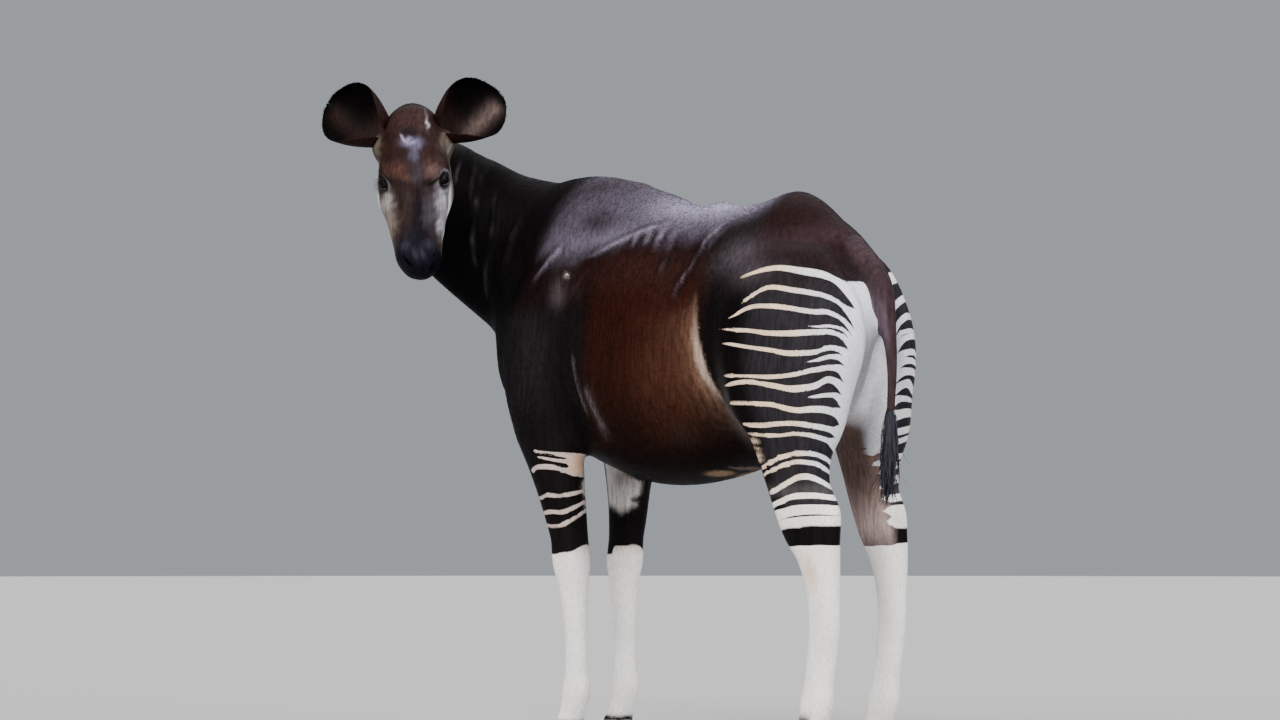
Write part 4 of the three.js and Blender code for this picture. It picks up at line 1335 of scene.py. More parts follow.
# The face's marks lie on the face as the photo's camera sees it square on, in millimetres across and down
# from between the eyes. Left and right are the viewer's here.
faceView = {"column": 414, "row": 180, "millimetresPerPixel": 2.81}
faceMarks = {  # across, down, two radii and a lean in degrees; power, strength, colour
    "crown": ((-39, -169, 80, 33, 0), 3, 0.9, (0.026, 0.0125, 0.012)),
    "crownMiddle": ((17, -173, 28, 28, 0), 3, 0.7, (0.034, 0.018, 0.017)),
    "foreheadLeft": ((-65, -98, 35, 56, 0), 3, 0.85, (0.0155, 0.0062, 0.005)),
    "foreheadRight": ((57, -89, 28, 61, 0), 3, 0.85, (0.022, 0.011, 0.0095)),
    "foreheadDark": ((-30, -49, 23, 33, 0), 2, 0.85, (0.0095, 0.005, 0.005)),
    "browLeft": ((-60, -28, 29, 16, 18), 2, 0.85, (0.042, 0.0165, 0.011)),
    "betweenBrows": ((-18, -9, 21, 9, 0), 2, 0.6, (0.085, 0.045, 0.035)),
    # a painted highlight over the left brow
    "browGlowLeft": ((-36, -34, 20, 24, 12), 2, 0.6, (0.085, 0.038, 0.031)),
    "browRight": ((50, -28, 24, 26, 0), 2, 0.7, (0.115, 0.066, 0.060)),
    # a painted bluish sheen on the forehead, a brighter painted glint in it and a painted streak of sheen
    # below
    "foreheadSheen": ((-6, -110, 31, 16, 0), 3, 0.9, (0.110, 0.100, 0.165)),
    "foreheadGlint": ((-6, -109, 12, 7, 0), 2, 0.7, (0.3, 0.28, 0.42)),
    "foreheadSheenStreak": ((2, -80, 16, 29, 0), 3, 0.8, (0.070, 0.062, 0.096)),
    "bridgeTop": ((9, -19, 20, 31, 0), 3, 0.75, (0.040, 0.033, 0.044)),
    # painted shade in the hollow above the forehead's sheen
    "foreheadHollowShade": ((-9, -140, 27, 14, 0), 3, 0.92, (0.01, 0.0065, 0.007)),
    # a painted highlight on the forehead by the horn bud, with a brighter glint
    "hornSheen": ((37, -171, 4, 24, -6), 2, 0.7, (0.22, 0.195, 0.215)),
    "hornGlint": ((40, -160, 3, 7, -6), 2, 0.7, (0.42, 0.40, 0.44)),
    "eyeCornerRight": ((40, 6, 21, 13, 0), 3, 0.85, (0.007, 0.0048, 0.005)),
    "eyeCornerLeft": ((-46, 5, 22, 11, 12), 3, 0.8, (0.015, 0.0085, 0.008)),
    "cheekLeft": ((-74, 70, 20, 37, 8), 3, 0.85, (0.205, 0.185, 0.175)),
    "cheekLightLeft": ((-76, 62, 10, 22, 8), 2, 0.6, (0.30, 0.275, 0.26)),
    "lowCheekLeft": ((-67, 126, 23, 44, 16), 3, 0.8, (0.18, 0.14, 0.115)),
    "cheekRight": ((80, 72, 19, 48, -4), 2, 0.9, (0.280, 0.272, 0.310)),
    "cheekLightRight": ((86, 50, 8, 15, 0), 2, 0.55, (0.36, 0.35, 0.385)),
    "lowCheekRight": ((77, 128, 10, 19, 14), 2, 0.8, (0.42, 0.41, 0.45)),
    # painted shade in the fold of the right cheek
    "cheekFoldShade": ((68, 93, 21, 7, -18), 2, 0.7, (0.11, 0.105, 0.12)),
    "noseLeft": ((-25, 80, 29, 66, 4), 3, 0.85, (0.025, 0.016, 0.0145)),
    "noseLowLeft": ((-18, 140, 19, 28, 0), 2, 0.7, (0.0165, 0.0098, 0.009)),
    "noseRight": ((40, 89, 22, 56, 0), 3, 0.85, (0.040, 0.0375, 0.045)),
    "noseMiddle": ((9, 94, 17, 90, 3), 2, 0.9, (0.0048, 0.0038, 0.0066)),
    "overMuzzle": ((2, 158, 60, 34, 0), 2, 0.6, (0.0115, 0.0090, 0.0125)),
    "earRootLeft": ((-112, -98, 19, 34, 12), 3, 0.9, (0.115, 0.092, 0.070)),
    "earRootRight": ((98, -106, 22, 30, -12), 3, 0.9, (0.150, 0.118, 0.098)),
}
faceLines = {  # points across and down, half width, strength, colour
    "upperLidLeft": ([(-106, -37), (-91, -22), (-73, -5), (-57, 10)], 4.7, 0.95, (0.004, 0.0028, 0.0028)),
    "upperLidRight": (
        [(103, -49), (88, -29), (71, -8), (50, 7), (29, 14)], 5.2, 0.95, (0.004, 0.0028, 0.003),
    ),
    # painted rim highlights along the cheeks' outlines, over their pale hair
    "cheekRimLightLeft": ([(-103, 22), (-99, 66), (-88, 112)], 3.3, 0.85, (0.8, 0.78, 0.82)),
    "cheekRimLightRight": ([(104, -9), (102, 66), (94, 119), (81, 164)], 3.3, 0.9, (0.86, 0.85, 0.9)),
    # painted sheen along the edge of the forehead's hollow
    "foreheadSheenEdge": ([(-39, -135), (-29, -116), (-16, -105)], 3.3, 0.7, (0.3, 0.26, 0.36)),
    "outerEyeLeft": ([(-109, -23), (-105, 0), (-99, 19)], 4.2, 0.7, (0.32, 0.28, 0.34)),
    "underEyeLeft": ([(-82, 36), (-69, 43), (-63, 41)], 4.2, 0.6, (0.22, 0.19, 0.2)),
    "underEyeRight": ([(71, 19), (77, 30), (93, 29), (102, 14)], 3.7, 0.7, (0.3, 0.28, 0.33)),
    "templeRight": ([(95, -75), (103, -96), (111, -109)], 3.0, 0.5, (0.40, 0.37, 0.40)),
    "innerLidRight": ([(82, -33), (96, -28), (104, -9)], 3.3, 0.5, (0.22, 0.2, 0.24)),
}


def facePlane(points):
    v = photoView
    scale = v["focalPixels"] / (v["distance"] + points @ depthOfView)
    column = v["centreColumn"] + points @ rightOfView * scale
    row = v["horizonRow"] - (points[:, 2] - v["height"]) * scale
    away = np.stack([column - faceView["column"], row - faceView["row"]], 1)
    return away * faceView["millimetresPerPixel"]


headColours = {
    "base": (0.020, 0.0105, 0.0092),
    "sides": (0.200, 0.165, 0.150),
    "jaw": (0.115, 0.090, 0.082),
    "underEye": (0.20, 0.175, 0.195),
    "eyeRing": (0.0045, 0.0035, 0.0040),
    "muzzle": (0.0050, 0.0040, 0.0076),
    # painted sheen on the muzzle
    "muzzleSheen": (0.030, 0.027, 0.040),
    "chin": (0.020, 0.018, 0.022),
    # nostril and lips: painted shade in the nostrils and in the split between the lips
    "nostril": (0.0016, 0.0012, 0.0016),
    "lips": (0.0025, 0.0020, 0.0025),
}


def paintFace(plane, rough, front, shade):
    # rough makes the patches' edges wavy; front is 1 on the front of the face
    wavy = plane + np.stack([rough, 1.3 * rough], 1) * 0.5
    for (u, v, ru, rv, lean), power, strength, tone in faceMarks.values():
        c, s = math.cos(math.radians(lean)), math.sin(math.radians(lean))
        d = wavy - (u, v)
        away = ((d[:, 0] * c + d[:, 1] * s) / ru) ** 2 + ((d[:, 1] * c - d[:, 0] * s) / rv) ** 2
        shade = paint(shade, front * strength * np.exp(-(away ** (power / 2))), tone)
    return shade


def paintFaceLines(plane, front, shade):
    flat = np.column_stack([plane, np.zeros(len(plane))])
    for line, width, strength, tone in faceLines.values():
        d, share = nearLine(flat, [(a, b, 0) for a, b in line])
        ends = ease(share, -0.05, 0.25) * (1 - ease(share, 0.75, 1.05))
        shade = paint(shade, front * strength * hill(d, 0, width) * ends, tone)
    return shade


def paintEyeRings(h, shade):
    for side in both:
        q = onEye(h, side)
        near = (q[:, 2] > 0) & (np.linalg.norm(q, axis=1) < 46)
        share = np.hypot(q[:, 0] / 29, (q[:, 1] + 1) / 19.5)
        below = ease(-q[:, 1], -2, 10)
        shade = paint(shade, near * 0.4 * hill(share, 1.12, 0.10) * below, headColours["underEye"])
        shade = paint(shade, near * (1 - ease(share, 0.92, 1.04)), headColours["eyeRing"])
    return shade


def paintMuzzle(h, rough, shade):
    c = headColours
    start = 424 - 26 * hill(h[:, 1], 6, 26) + 12 * hill(np.abs(h[:, 1]), 62, 16) + 0.8 * rough
    muzzle = ease(h[:, 0], start - 46, start + 24)
    shade = paint(shade, muzzle, c["muzzle"])
    # painted sheen on the muzzle
    sheenSpots = spread(np.abs(h), (438, 34, 40), (15, 15, 26)) + spread(np.abs(h), (466, 10, 34), (16, 9, 20))
    shade = paint(shade, 0.7 * sheenSpots, c["muzzleSheen"])
    shade = paint(shade, 0.7 * muzzle * (1 - ease(h[:, 2], -58, -44)), c["chin"])
    # painted shade in the nostrils
    for side in both:
        d, _ = nearLine(h, onSide(nostril["line"], side))
        shade = paint(shade, hill(d, 0, 6.5), c["nostril"])
    # a dark line along the split between the lips: painted shade
    return paint(shade, 0.9 * hill(overLips(h), 0, 5) * ease(h[:, 0], 395, 420), c["lips"])


def paintHead(points, h, colour, weight):
    c = headColours
    shade = evenly(c["base"], h)
    shade = paint(shade, 0.9 * (1 - ease(h[:, 2], -20, 35)) * ease(h[:, 0], 120, 190), c["sides"])
    shade = paint(shade, 0.8 * (1 - ease(h[:, 2], -95, -60)) * ease(h[:, 0], 90, 170), c["jaw"])
    plane = facePlane(points)
    u, v = plane.T
    front = ease(h[:, 2], -46, -8)
    rough = 4 * np.sin(u / 5.1 + 2 * np.sin(v / 9)) + 3 * np.sin(v / 4.3 + u / 11)
    shade = paintFace(plane, rough, front, shade)
    behind = 1 - ease(h[:, 0] - 0.35 * h[:, 2], 10, 60)
    shade = paint(shade, behind * (1 - ease(h[:, 2], 20, 60)), coatColours["neck"])
    shade = paintEyeRings(h, shade)
    shade = paintFaceLines(plane, front, shade)
    return paint(colour, weight, paintMuzzle(straightened(h), rough, shade))


def tailCover(p):  # 1 on the tail's own surface
    line = [r[:3] for r in list(tail.values())[1:]]
    d, share = nearLine(p, line)
    radius = np.interp(share, [0, 0.2, 0.4, 0.6, 0.8, 1], [52, 46, 38, 25, 18, 15])
    return (1 - ease(d, radius, radius + 9)) * (p[:, 0] < -610)


whiteTurn = {  # height: the turn at which the dark wedges end on the near thigh's rear
    "heights": (850, 900, 960, 1000, 1060, 1100, 1200),
    "turns": (191, 188, 186, 183, 184, 187, 190),
    "farLegLater": 18,
}


def markHindleg(p, turn, plan, colour):
    # phase, reach and stripe colour on a hind leg
    far = plan[1] < 0
    z = p[:, 2]
    turn = turn - whiteTurn["farLegLater"] * far
    phase, reach = stripesOf(p, turn, hindTurns, hindRows, 0.2 if far else 0.12)
    reach = reach * (1.35 if far else 1)
    tip = np.interp(z, whiteTurn["heights"], whiteTurn["turns"])
    rear = ease(turn, tip - 14, tip + 3) * ease(z, 770, 830) * (1 - ease(z, 1195, 1255))
    reach = reach + (0.66 - reach) * rear
    early = 24 * far * (1 - ease(z, 730, 800))
    inner = ease(turn + early, 204, 224) + (1 - ease(turn, -40, -10)) * (turn < 90)
    reach = reach * (1 - inner * ease(z, 545, 575) * (1 - rear * (turn > 90)))
    pale = paint(evenly(paleColours["cream"], p), ease(turn, 120, 178), paleColours["rear"])
    pale = paint(pale, 0.8 * (1 - ease(z, 640, 780)), paleColours["white"])
    pale = paint(pale, 1 - ease(z, 500, 560), paleColours["stocking"])
    pale = paint(pale, 0.7 * hill(z, 490, 40) * hill(turn, 95, 30), paleColours["tan"])
    ring = 1.6 * hill(z, 76, 9) + 0.9 * hill(z, 122, 16) * ease(turn, 40, 60) * (1 - ease(turn, 110, 135))
    shin = 0.5 * hill(turn, 0, 14) * ease(z, 110, 150) * (1 - ease(z, 400, 520))
    pale = paint(pale, ring + shin, coatColours["garter"])
    return phase, reach, blend(pale, colour, inner * ease(z, 700, 800))


def markForeleg(p, turn, plan):
    z = p[:, 2]
    x, y = stationAt(plan, z)
    apart = np.hypot(p[:, 0] - x, p[:, 1] * plan[1] - y)
    phase, reach = stripesOf(p, turn, foreTurns, foreRows, 0.3)
    merged = ease(turn, 158, 172) * (1 - ease(turn, 196, 206)) * ease(z, 745, 756) * (1 - ease(z, 792, 806))
    reach = reach + 0.6 * merged
    inner = ease(turn, 205, 225) + (1 - ease(turn, -70, -40)) * (turn < 90)
    reach = reach * (1 - inner * ease(z, 545, 575)) * (1 - ease(apart, 92, 112) * (z > 600))
    pale = paint(evenly(paleColours["foreStripe"], p), 1 - ease(z, 520, 570), paleColours["stocking"])
    pale = paint(pale, 0.7 * merged, paleColours["tan"])
    shin = hill(turn, 0, 15) * ease(z, 120, 170) * (1 - ease(z, 400, 470))
    return phase, reach, paint(pale, 1.6 * hill(z, 76, 9) + 0.9 * shin, coatColours["garter"])


def coatOf(points):
    # coat colour, stripe colour, phase and reach at points of the body, in metres
    p = points * 1000
    left, onLeft = toLeft(p), p[:, 1] >= 0
    x, y, z = left.T
    colour = paintTrunk(left, onLeft)
    colour = paintNeck(p, colour, ease(x + 0.35 * (z - 1300), 430, 520))
    phase, reach = np.zeros(len(p)), np.zeros(len(p))
    pale = evenly(paleColours["cream"], p)
    for name, plan in legPlans.items():
        own = onLeft if plan[1] > 0 else ~onLeft
        turn = turnAbout(p, plan)
        if "Hind" in name:
            weight = ease(-x, 300, 390) * (1 - ease(z, 1225, 1330))
            weight = own * np.maximum(weight, (z < 760) & (x < -210))
            colour = paintHindleg(left, turn, colour, weight)
            found = markHindleg(p, turn, plan, colour)
        else:
            weight = own * ease(x, 150, 230) * (1 - ease(z, 1150, 1230)) * ease(y, 20, 60)
            colour = paintForeleg(left, turn, plan, colour, weight)
            found = markForeleg(p, turn, plan)
        take = own & (weight > 0.02)
        phase, reach = np.where(take, found[0], phase), np.where(take, found[1], reach)
        pale = np.where(take[:, None], found[2], pale)
    colour = paintElbowFoldSheen(p, colour)
    tailShare = tailCover(p)
    colour = paint(colour, tailShare, coatColours["tail"])
    under = ease(y, 8, 20) * (1 - ease(z, 1120, 1220))
    colour = paint(colour, tailShare * under, coatColours["tailSide"])
    reach = reach * (1 - tailShare)
    some = np.flatnonzero(nearHead(points))
    if len(some):
        near = points[some]
        closer = measure(near, lofts["neck"])[:, 0] - measure(near, lofts["skull"])[:, 0]
        colour[some] = paintHead(near, toHead(near), colour[some], ease(closer, -0.006, 0.016))
    return colour, pale, phase, reach


def nearHead(points):
    h = toHead(points)
    return (h[:, 0] > -60) & (np.abs(h[:, 1]) < 180) & (h[:, 2] > -230) & (h[:, 2] < 160)


def markSkin(mesh, headless):
    points = pointsOf(mesh)
    colour, pale, phase, reach = coatOf(points)
    rest = np.arange(len(points)) >= headless
    colour[rest] = earColours(toHead(points[rest]))
    reach[rest] = 0
    writeColour(mesh, "coat", colour)
    writeColour(mesh, "pale", pale)
    writeFloat(mesh, "phase", phase)
    writeFloat(mesh, "reach", reach)
    writeFloat(mesh, "shade", np.ones(len(points)))


def earColours(h):
    # dark velvet behind and at the rim, browner inside, with a paler slant in the cup
    out = toLeft(h) - ear["root"]
    colour = evenly(ear["velvet"], h)
    for side in both:
        axis, across = earAxes(side)
        here = h[:, 1] * side > 0
        u, v = dot(out, axis) / ear["length"], dot(out, across)
        slant = hill(v - 40 * (u - 0.4), -38, 24) * ease(u, 0.15, 0.35) * (1 - ease(u, 0.8, 0.95))
        colour = paint(colour, here * 0.8 * slant, ear["slant"][side])
        colour = paint(colour, here * 0.7 * (1 - ease(u, 0.1, 0.5)), ear["cup"])
    return colour


lashes = {"count": 30, "length": 15.0, "radius": 0.55, "rows": 4, "sides": 3}  # in millimetres
rimMesh = {"along": 96, "around": 10}
ballMesh = {"rows": 40, "columns": 48}


def rimOf(side, t, radius, push):
    # the edge of the eye's opening on a ball of the given radius; t goes once round
    across = eye["reach"] * np.cos(t)
    room = 1 - np.cos(t) ** 2
    up = np.where(np.sin(t) > 0, eye["high"], -eye["low"]) * room - droopOf(across)
    scale = 1 + push / np.maximum(np.hypot(across, up), 1)
    across, up = across * scale, up * scale
    deep = np.sqrt(np.maximum(radius**2 - across**2 - up**2, 30))
    return np.stack([across, up, deep], -1) @ eyeAxes(side) + onSide(eye["at"], side)


def makeLidRim(side):
    # a closed tube along the rim: path point + radius x (outward, sideways) at each angle
    n, m = rimMesh["along"], rimMesh["around"]
    t, a = np.meshgrid(roundTurns(n), roundTurns(m), indexing="ij")
    centre = rimOf(side, t, eye["rim"], 0.6)
    way = unit(rimOf(side, t + 0.03, eye["rim"], 0.6) - rimOf(side, t - 0.03, eye["rim"], 0.6))
    outwards = unit(centre - onSide(eye["at"], side))
    beside = np.cross(way, outwards)
    size = (eye["rimWidth"] + 0.5 * np.maximum(np.sin(t), 0))[..., None]
    points = centre + size * (outwards * np.cos(a)[..., None] + beside * np.sin(a)[..., None] * 1.2)
    i, j = np.meshgrid(np.arange(n), np.arange(m), indexing="ij")
    ring, nxt = (i + 1) % n, (j + 1) % m
    faces = np.stack([i * m + j, ring * m + j, ring * m + nxt, i * m + nxt], -1).reshape(-1, 4)
    return fromHead(points).reshape(-1, 3), faces


def makeLashes(side):
    # tapered spikes that bend up and out from the upper rim
    t = np.linspace(0.35, math.pi - 0.55, lashes["count"])
    t = t + luck.normal(0, 0.03, len(t))
    root = rimOf(side, t, eye["lashRoot"], 0.5)
    along, top, look = eyeAxes(side)
    outwards = unit(root - onSide(eye["at"], side))
    lean = outwards * 0.8 + top * 0.45 + along * (np.cos(t) * 0.5)[:, None]
    lean = unit(lean + luck.normal(0, 0.08, lean.shape))[:, None]
    length = lashes["length"] * (0.75 + 0.3 * np.sin(t)) * luck.uniform(0.85, 1.1, len(t))
    s = np.linspace(0, 1, lashes["rows"])
    far, bent = (length[:, None] * s)[..., None], (length[:, None] * s**2)[..., None]
    path = root[:, None] + lean * far + (top * 0.35 - look * 0.1) * bent
    angle = roundTurns(lashes["sides"])[:, None]
    first = unit(np.cross(lean, top))
    second = np.cross(lean, first)
    ring = first[:, :, None] * np.cos(angle) + second[:, :, None] * np.sin(angle)
    width = lashes["radius"] * (1 - s) + 0.02
    points = path[:, :, None] + ring * width[:, None, None]
    start = np.arange(len(t))[:, None, None] * len(s) * len(angle)
    faces = (start + gridFaces(len(s), len(angle))).reshape(-1, 4)
    return fromHead(points).reshape(-1, 3), faces


def makeEyeball(side):
    # a ball that swells in front; q is a point's place across and up the opening and along the look
    rows = np.linspace(0, 1, ballMesh["rows"]) ** 1.3 * math.pi
    tilt, turn = np.meshgrid(rows, roundTurns(ballMesh["columns"]), indexing="ij")
    radius = eye["radius"] + eye["clearFront"] * (1 - ease(tilt, 0.35, 0.75))
    q = np.stack([np.sin(tilt) * np.cos(turn), np.sin(tilt) * np.sin(turn), np.cos(tilt)], -1)
    q = q * radius[..., None]
    points = fromHead(q @ eyeAxes(side) + onSide(eye["at"], side))
    return points.reshape(-1, 3), gridFaces(*tilt.shape), q.reshape(-1, 3)


hoofPlan = {  # in millimetres
    "height": 62,
    "forward": (72, 43),  # reach at the sole and at the top
    "back": 37,
    "half": 20.5,
    "apart": 22.5,  # from the foot's middle to a hoof's
    "ahead": 6,
    "wallRows": 16,
    "columns": 40,
}


def makeHoof(plan, inner):
    # rows: the sole's middle and edge, the wall with faint growth rings, then a domed top inside the leg
    h = hoofPlan
    x, y = legRows(plan)["coronet"][:2]
    share = np.r_[0, 0.5, 0.9, 0.97, np.ones(h["wallRows"]), 0.75, 0.4, 0]
    level = np.r_[0.05, 0.04, 0.0, 0.0, np.linspace(0.03, 0.97, h["wallRows"]), 1.05, 1.1, 1.12]
    share, a = np.meshgrid(share, roundTurns(h["columns"]), indexing="ij")
    up = np.broadcast_to(level[:, None], a.shape)
    wall = np.clip(up, 0, 1)
    size = share * (1 - 0.22 * wall) * (1 + 0.006 * np.sin(wall * 44) * (share > 0.99))
    sole, top = h["forward"]
    c, w = np.cos(a), np.sin(a)
    long = np.where(c > 0, sole + (top - sole) * wall, h["back"])
    fx = size * long * np.sign(c) * np.abs(c) ** (2 / 2.2) + h["ahead"]
    fy = size * h["half"] * np.sign(w) * np.abs(w) ** (2 / 2.3) + inner * h["apart"]
    turned = toeOut * plan[1]
    points = np.stack([
        x + fx * math.cos(turned) - fy * math.sin(turned),
        y + fx * math.sin(turned) + fy * math.cos(turned),
        h["height"] * up * (1 - 0.16 * (1 - c) / 2 * wall),
    ], -1)
    return points.reshape(-1, 3) / 1000, gridFaces(*a.shape)


tuftPlan = {"top": (-731, 0, 905), "length": 250, "radius": 15, "strands": 260, "rows": 12}


def makeTuft():
    # Strands of three columns, ridge raised, each from a start to an end on a spindle that hangs from the
    # tail. They wander and curl the more the further down: drift v^2 + curl v sin(turns v + phase).
    n, rows = tuftPlan["strands"], tuftPlan["rows"]
    v = np.linspace(0, 1, rows)[None]

    def drawn(low, high):  # one number for each strand, in a column
        return luck.uniform(low, high, n)[:, None]

    bearing = luck.uniform(0, 2 * math.pi, n)
    start = luck.uniform(-0.06, 0.40, n)
    end = np.minimum(1, start + luck.uniform(0.42, 0.80, n))
    at = start[:, None] + (end - start)[:, None] * v
    spindle = tuftPlan["radius"] * np.sin(math.pi * np.clip(at * 0.9 + 0.10, 0, 1)) ** 0.6
    out = spindle * drawn(0.25, 1.0) + drawn(2, 12) * np.sin(math.pi * v) * 0.6
    width = drawn(1.3, 2.6) * np.sin(math.pi * (0.12 + 0.88 * v) ** 0.8) ** 0.7
    width[:, -1] = 0.15
    loose = luck.uniform(0, 1, n)[:, None] ** 2
    drift = [luck.normal(0, 9, n)[:, None] * (0.5 + 2 * loose) * v**2 for _ in range(2)]
    curl = [drawn(2, 5) * (1 + loose) * v * np.sin(drawn(5, 10) * v + drawn(0, 6)) for _ in range(2)]
    side, width = np.array([-1.0, 0, 1.0]), width[..., None]
    reach = out[..., None] + np.array([0, 1.0, 0]) * width * 0.7
    angle = bearing[:, None, None]
    x = reach * np.cos(angle) - side * width * np.sin(angle) + (drift[0] + curl[0])[..., None]
    y = reach * np.sin(angle) + side * width * np.cos(angle) + (drift[1] + curl[1])[..., None]
    z = np.broadcast_to(-tuftPlan["length"] * at[..., None], x.shape)
    place = (np.stack([x + (18 * at**2)[..., None], y, z], -1) + tuftPlan["top"]) / 1000
    base = (np.arange(n) * rows * 3)[:, None, None]
    faces = (base + gridFaces(rows, 3, False)[None]).reshape(-1, 4)
    return place.reshape(-1, 3), faces


markSkin(skinMesh, skinCount)
print("markings are on the skin")


def addNode(tree, kind, inputs=(), **settings):
    made = tree.nodes.new(kind)
    for name, value in settings.items():
        setattr(made, name, value)
    for key, value in dict(inputs).items():
        if isinstance(value, bpy.types.NodeSocket):
            tree.links.new(value, made.inputs[key])
        else:
            made.inputs[key].default_value = value
    return made


def calc(tree, operation, a, b=0.0):
    return addNode(tree, "ShaderNodeMath", {0: a, 1: b}, operation=operation).outputs[0]


def ramp(tree, value, low, high):  # from 0 at low to 1 at high
    ends = {"Value": value, "From Min": low, "From Max": high}
    return addNode(tree, "ShaderNodeMapRange", ends).outputs[0]


def mix(tree, share, first, second):
    return addNode(tree, "ShaderNodeMix", {0: share, 6: first, 7: second}, data_type="RGBA").outputs[2]


def scaled(tree, colour, factor):
    return addNode(tree, "ShaderNodeVectorMath", {0: colour, "Scale": factor}, operation="SCALE").outputs[0]


def attributeOf(tree, name, output="Fac"):
    return addNode(tree, "ShaderNodeAttribute", attribute_name=name).outputs[output]


def stretchedNoise(tree, scale, detail=2.0):
    # noise on Object coordinates, drawn out by a different scale on each axis
    place = addNode(tree, "ShaderNodeTexCoord").outputs["Object"]
    drawn = addNode(tree, "ShaderNodeMapping", {"Vector": place, "Scale": scale}).outputs[0]
    grain = {"Vector": drawn, "Scale": 1.0, "Detail": detail}
    return addNode(tree, "ShaderNodeTexNoise", grain).outputs["Fac"]


coatLook = {
    "colour": (0.03, 0.02, 0.02),
    "roughness": 0.52,
    "specular": 0.025,
    "edge": 0.045,  # softness of a stripe's edge, as a share of the way from stripe to stripe
    "wobble": 0.03,  # how far the edge wavers, as such a share
    "brushed": 0.6,  # how much long streaks darken and lighten the dark hair
    "streak": 0.30,  # how much fine streaks do so to all hair
    "patchy": 0.18,  # how much broad patches do
    "bump": 0.35,
    "bumpHeight": 0.0012,
}


def coatMaterial(name, look):
    made, tree, shader = newMaterial(name, look["colour"], look["roughness"], look["specular"])

    def varied(noise, amount):  # 1 - amount to 1 + amount
        return calc(tree, "ADD", calc(tree, "MULTIPLY", noise, amount * 2), 1 - amount)

    reach = attributeOf(tree, "reach")
    away = calc(tree, "PINGPONG", attributeOf(tree, "phase"), 0.5)
    wobble = calc(tree, "SUBTRACT", stretchedNoise(tree, (150, 150, 150)), 0.5)
    wobble = calc(tree, "MULTIPLY", wobble, look["wobble"])
    inside = calc(tree, "ADD", calc(tree, "SUBTRACT", reach, away), wobble)
    mask = ramp(tree, inside, -look["edge"] / 2, look["edge"] / 2)
    mask = calc(tree, "MULTIPLY", mask, ramp(tree, reach, 0.03, 0.07))
    brushed = varied(stretchedNoise(tree, (120, 90, 17), 1.0), look["brushed"])
    dark = scaled(tree, attributeOf(tree, "coat", "Color"), brushed)
    mixed = mix(tree, mask, dark, attributeOf(tree, "pale", "Color"))
    fine = stretchedNoise(tree, (260, 260, 60), 3.0)
    patchy = stretchedNoise(tree, (14, 14, 9), 2.0)
    vary = calc(tree, "MULTIPLY", varied(fine, look["streak"]), varied(patchy, look["patchy"]))
    vary = calc(tree, "MULTIPLY", vary, attributeOf(tree, "shade"))
    tree.links.new(scaled(tree, mixed, vary), shader.inputs["Base Color"])
    heights = {"Height": fine, "Strength": look["bump"], "Distance": look["bumpHeight"]}
    tree.links.new(addNode(tree, "ShaderNodeBump", heights).outputs[0], shader.inputs["Normal"])
    return made


coatStuff = coatMaterial("shortCoat", coatLook)

# Tufts: flat tapered wedges of hair, sampled over the skin, that lie as the coat lies.
coatRegions = {  # number, length, width and lift in millimetres, slot
    "trunk": (52000, 12.5, 2.7, 1.2, "coat"),
    "haunch": (62000, 6.6, 1.8, 0.7, "striped_coat"),
    "neck": (44000, 10.0, 2.3, 1.1, "neck_coat"),
    "legs": (50000, 6.4, 1.7, 0.7, "stocking"),
    "face": (50000, 4.6, 1.15, 0.5, "face_coat"),
    "ears": (26000, 7.0, 1.4, 0.7, "ear_coat"),
}
regionNames = list(coatRegions)


def regionOf(points, isEar):
    h = toHead(points)
    x, z = points[:, 0], points[:, 2]
    region = np.zeros(len(points), int)
    for name, inside in (
        ("haunch", x < -0.33),
        ("neck", x + 0.35 * (z - 1.3) > 0.46),
        ("legs", z < np.where(x > 0, 0.84, 0.76)),
        ("trunk", (z < 0.86) & (np.abs(x + 0.05) < 0.26)),
        ("face", (h[:, 0] > 15) & (np.abs(h[:, 1]) < 140) & (h[:, 2] > -150)),
        ("ears", isEar),
    ):
        region[inside] = regionNames.index(name)
    return region


def lieOf(points, normals, isEar):
    # the way the hair lies: a blend of directions by region, laid flat on the skin
    p, h = points * 1000, toHead(points)
    x, z = p[:, 0], p[:, 2]
    faceWay = np.tile((-1.0, 0.0, -0.3), (len(h), 1))
    faceWay[:, 1] = 0.25 * np.sign(h[:, 1]) * hill(h[:, 0], 120, 80)
    head = ease(h[:, 0], -20, 60) * (np.abs(h[:, 1]) < 160) * (h[:, 2] > -190) * (h[:, 2] < 150)
    way = np.tile((-0.86, 0.0, -0.50), (len(p), 1))
    for share, toward in (
        (ease(-x, 260, 420), (-0.30, 0.0, -0.95)),
        (ease(x + 0.35 * (z - 1300), 380, 520), (-0.45, -0.35, -0.80)),
        ((1 - ease(z, 760, 900)) * (np.abs(x + 50) > 230), (0.05, 0.0, -1.0)),
        (tailCover(p), (-0.2, 0.0, -1.0)),
        (head, faceWay @ headTurn.T),
    ):
        way = blend(way, np.array(toward), share)
    for side in both:
        way[isEar & (h[:, 1] * side > 0)] = headTurn @ onSide(earAxes(side)[0], side)
    way -= normals * dot(way, normals)[:, None]
    return unit(way + 1e-6)


# Each loft has a tile of the coat's texture: left, low, width and height, as shares of the whole.
tiles = {
    "trunk": (0, 0, 0.5, 0.5),
    "neck": (0.5, 0, 0.5, 0.25),
    "skull": (0.5, 0.25, 0.3, 0.25),
    "tail": (0.8, 0.25, 0.08, 0.25),
    "leftFore": (0, 0.5, 0.25, 0.5),
    "rightFore": (0.25, 0.5, 0.25, 0.5),
    "leftHind": (0.5, 0.5, 0.25, 0.5),
    "rightHind": (0.75, 0.5, 0.25, 0.5),
    "ears": (0.885, 0.255, 0.1, 0.24),
}


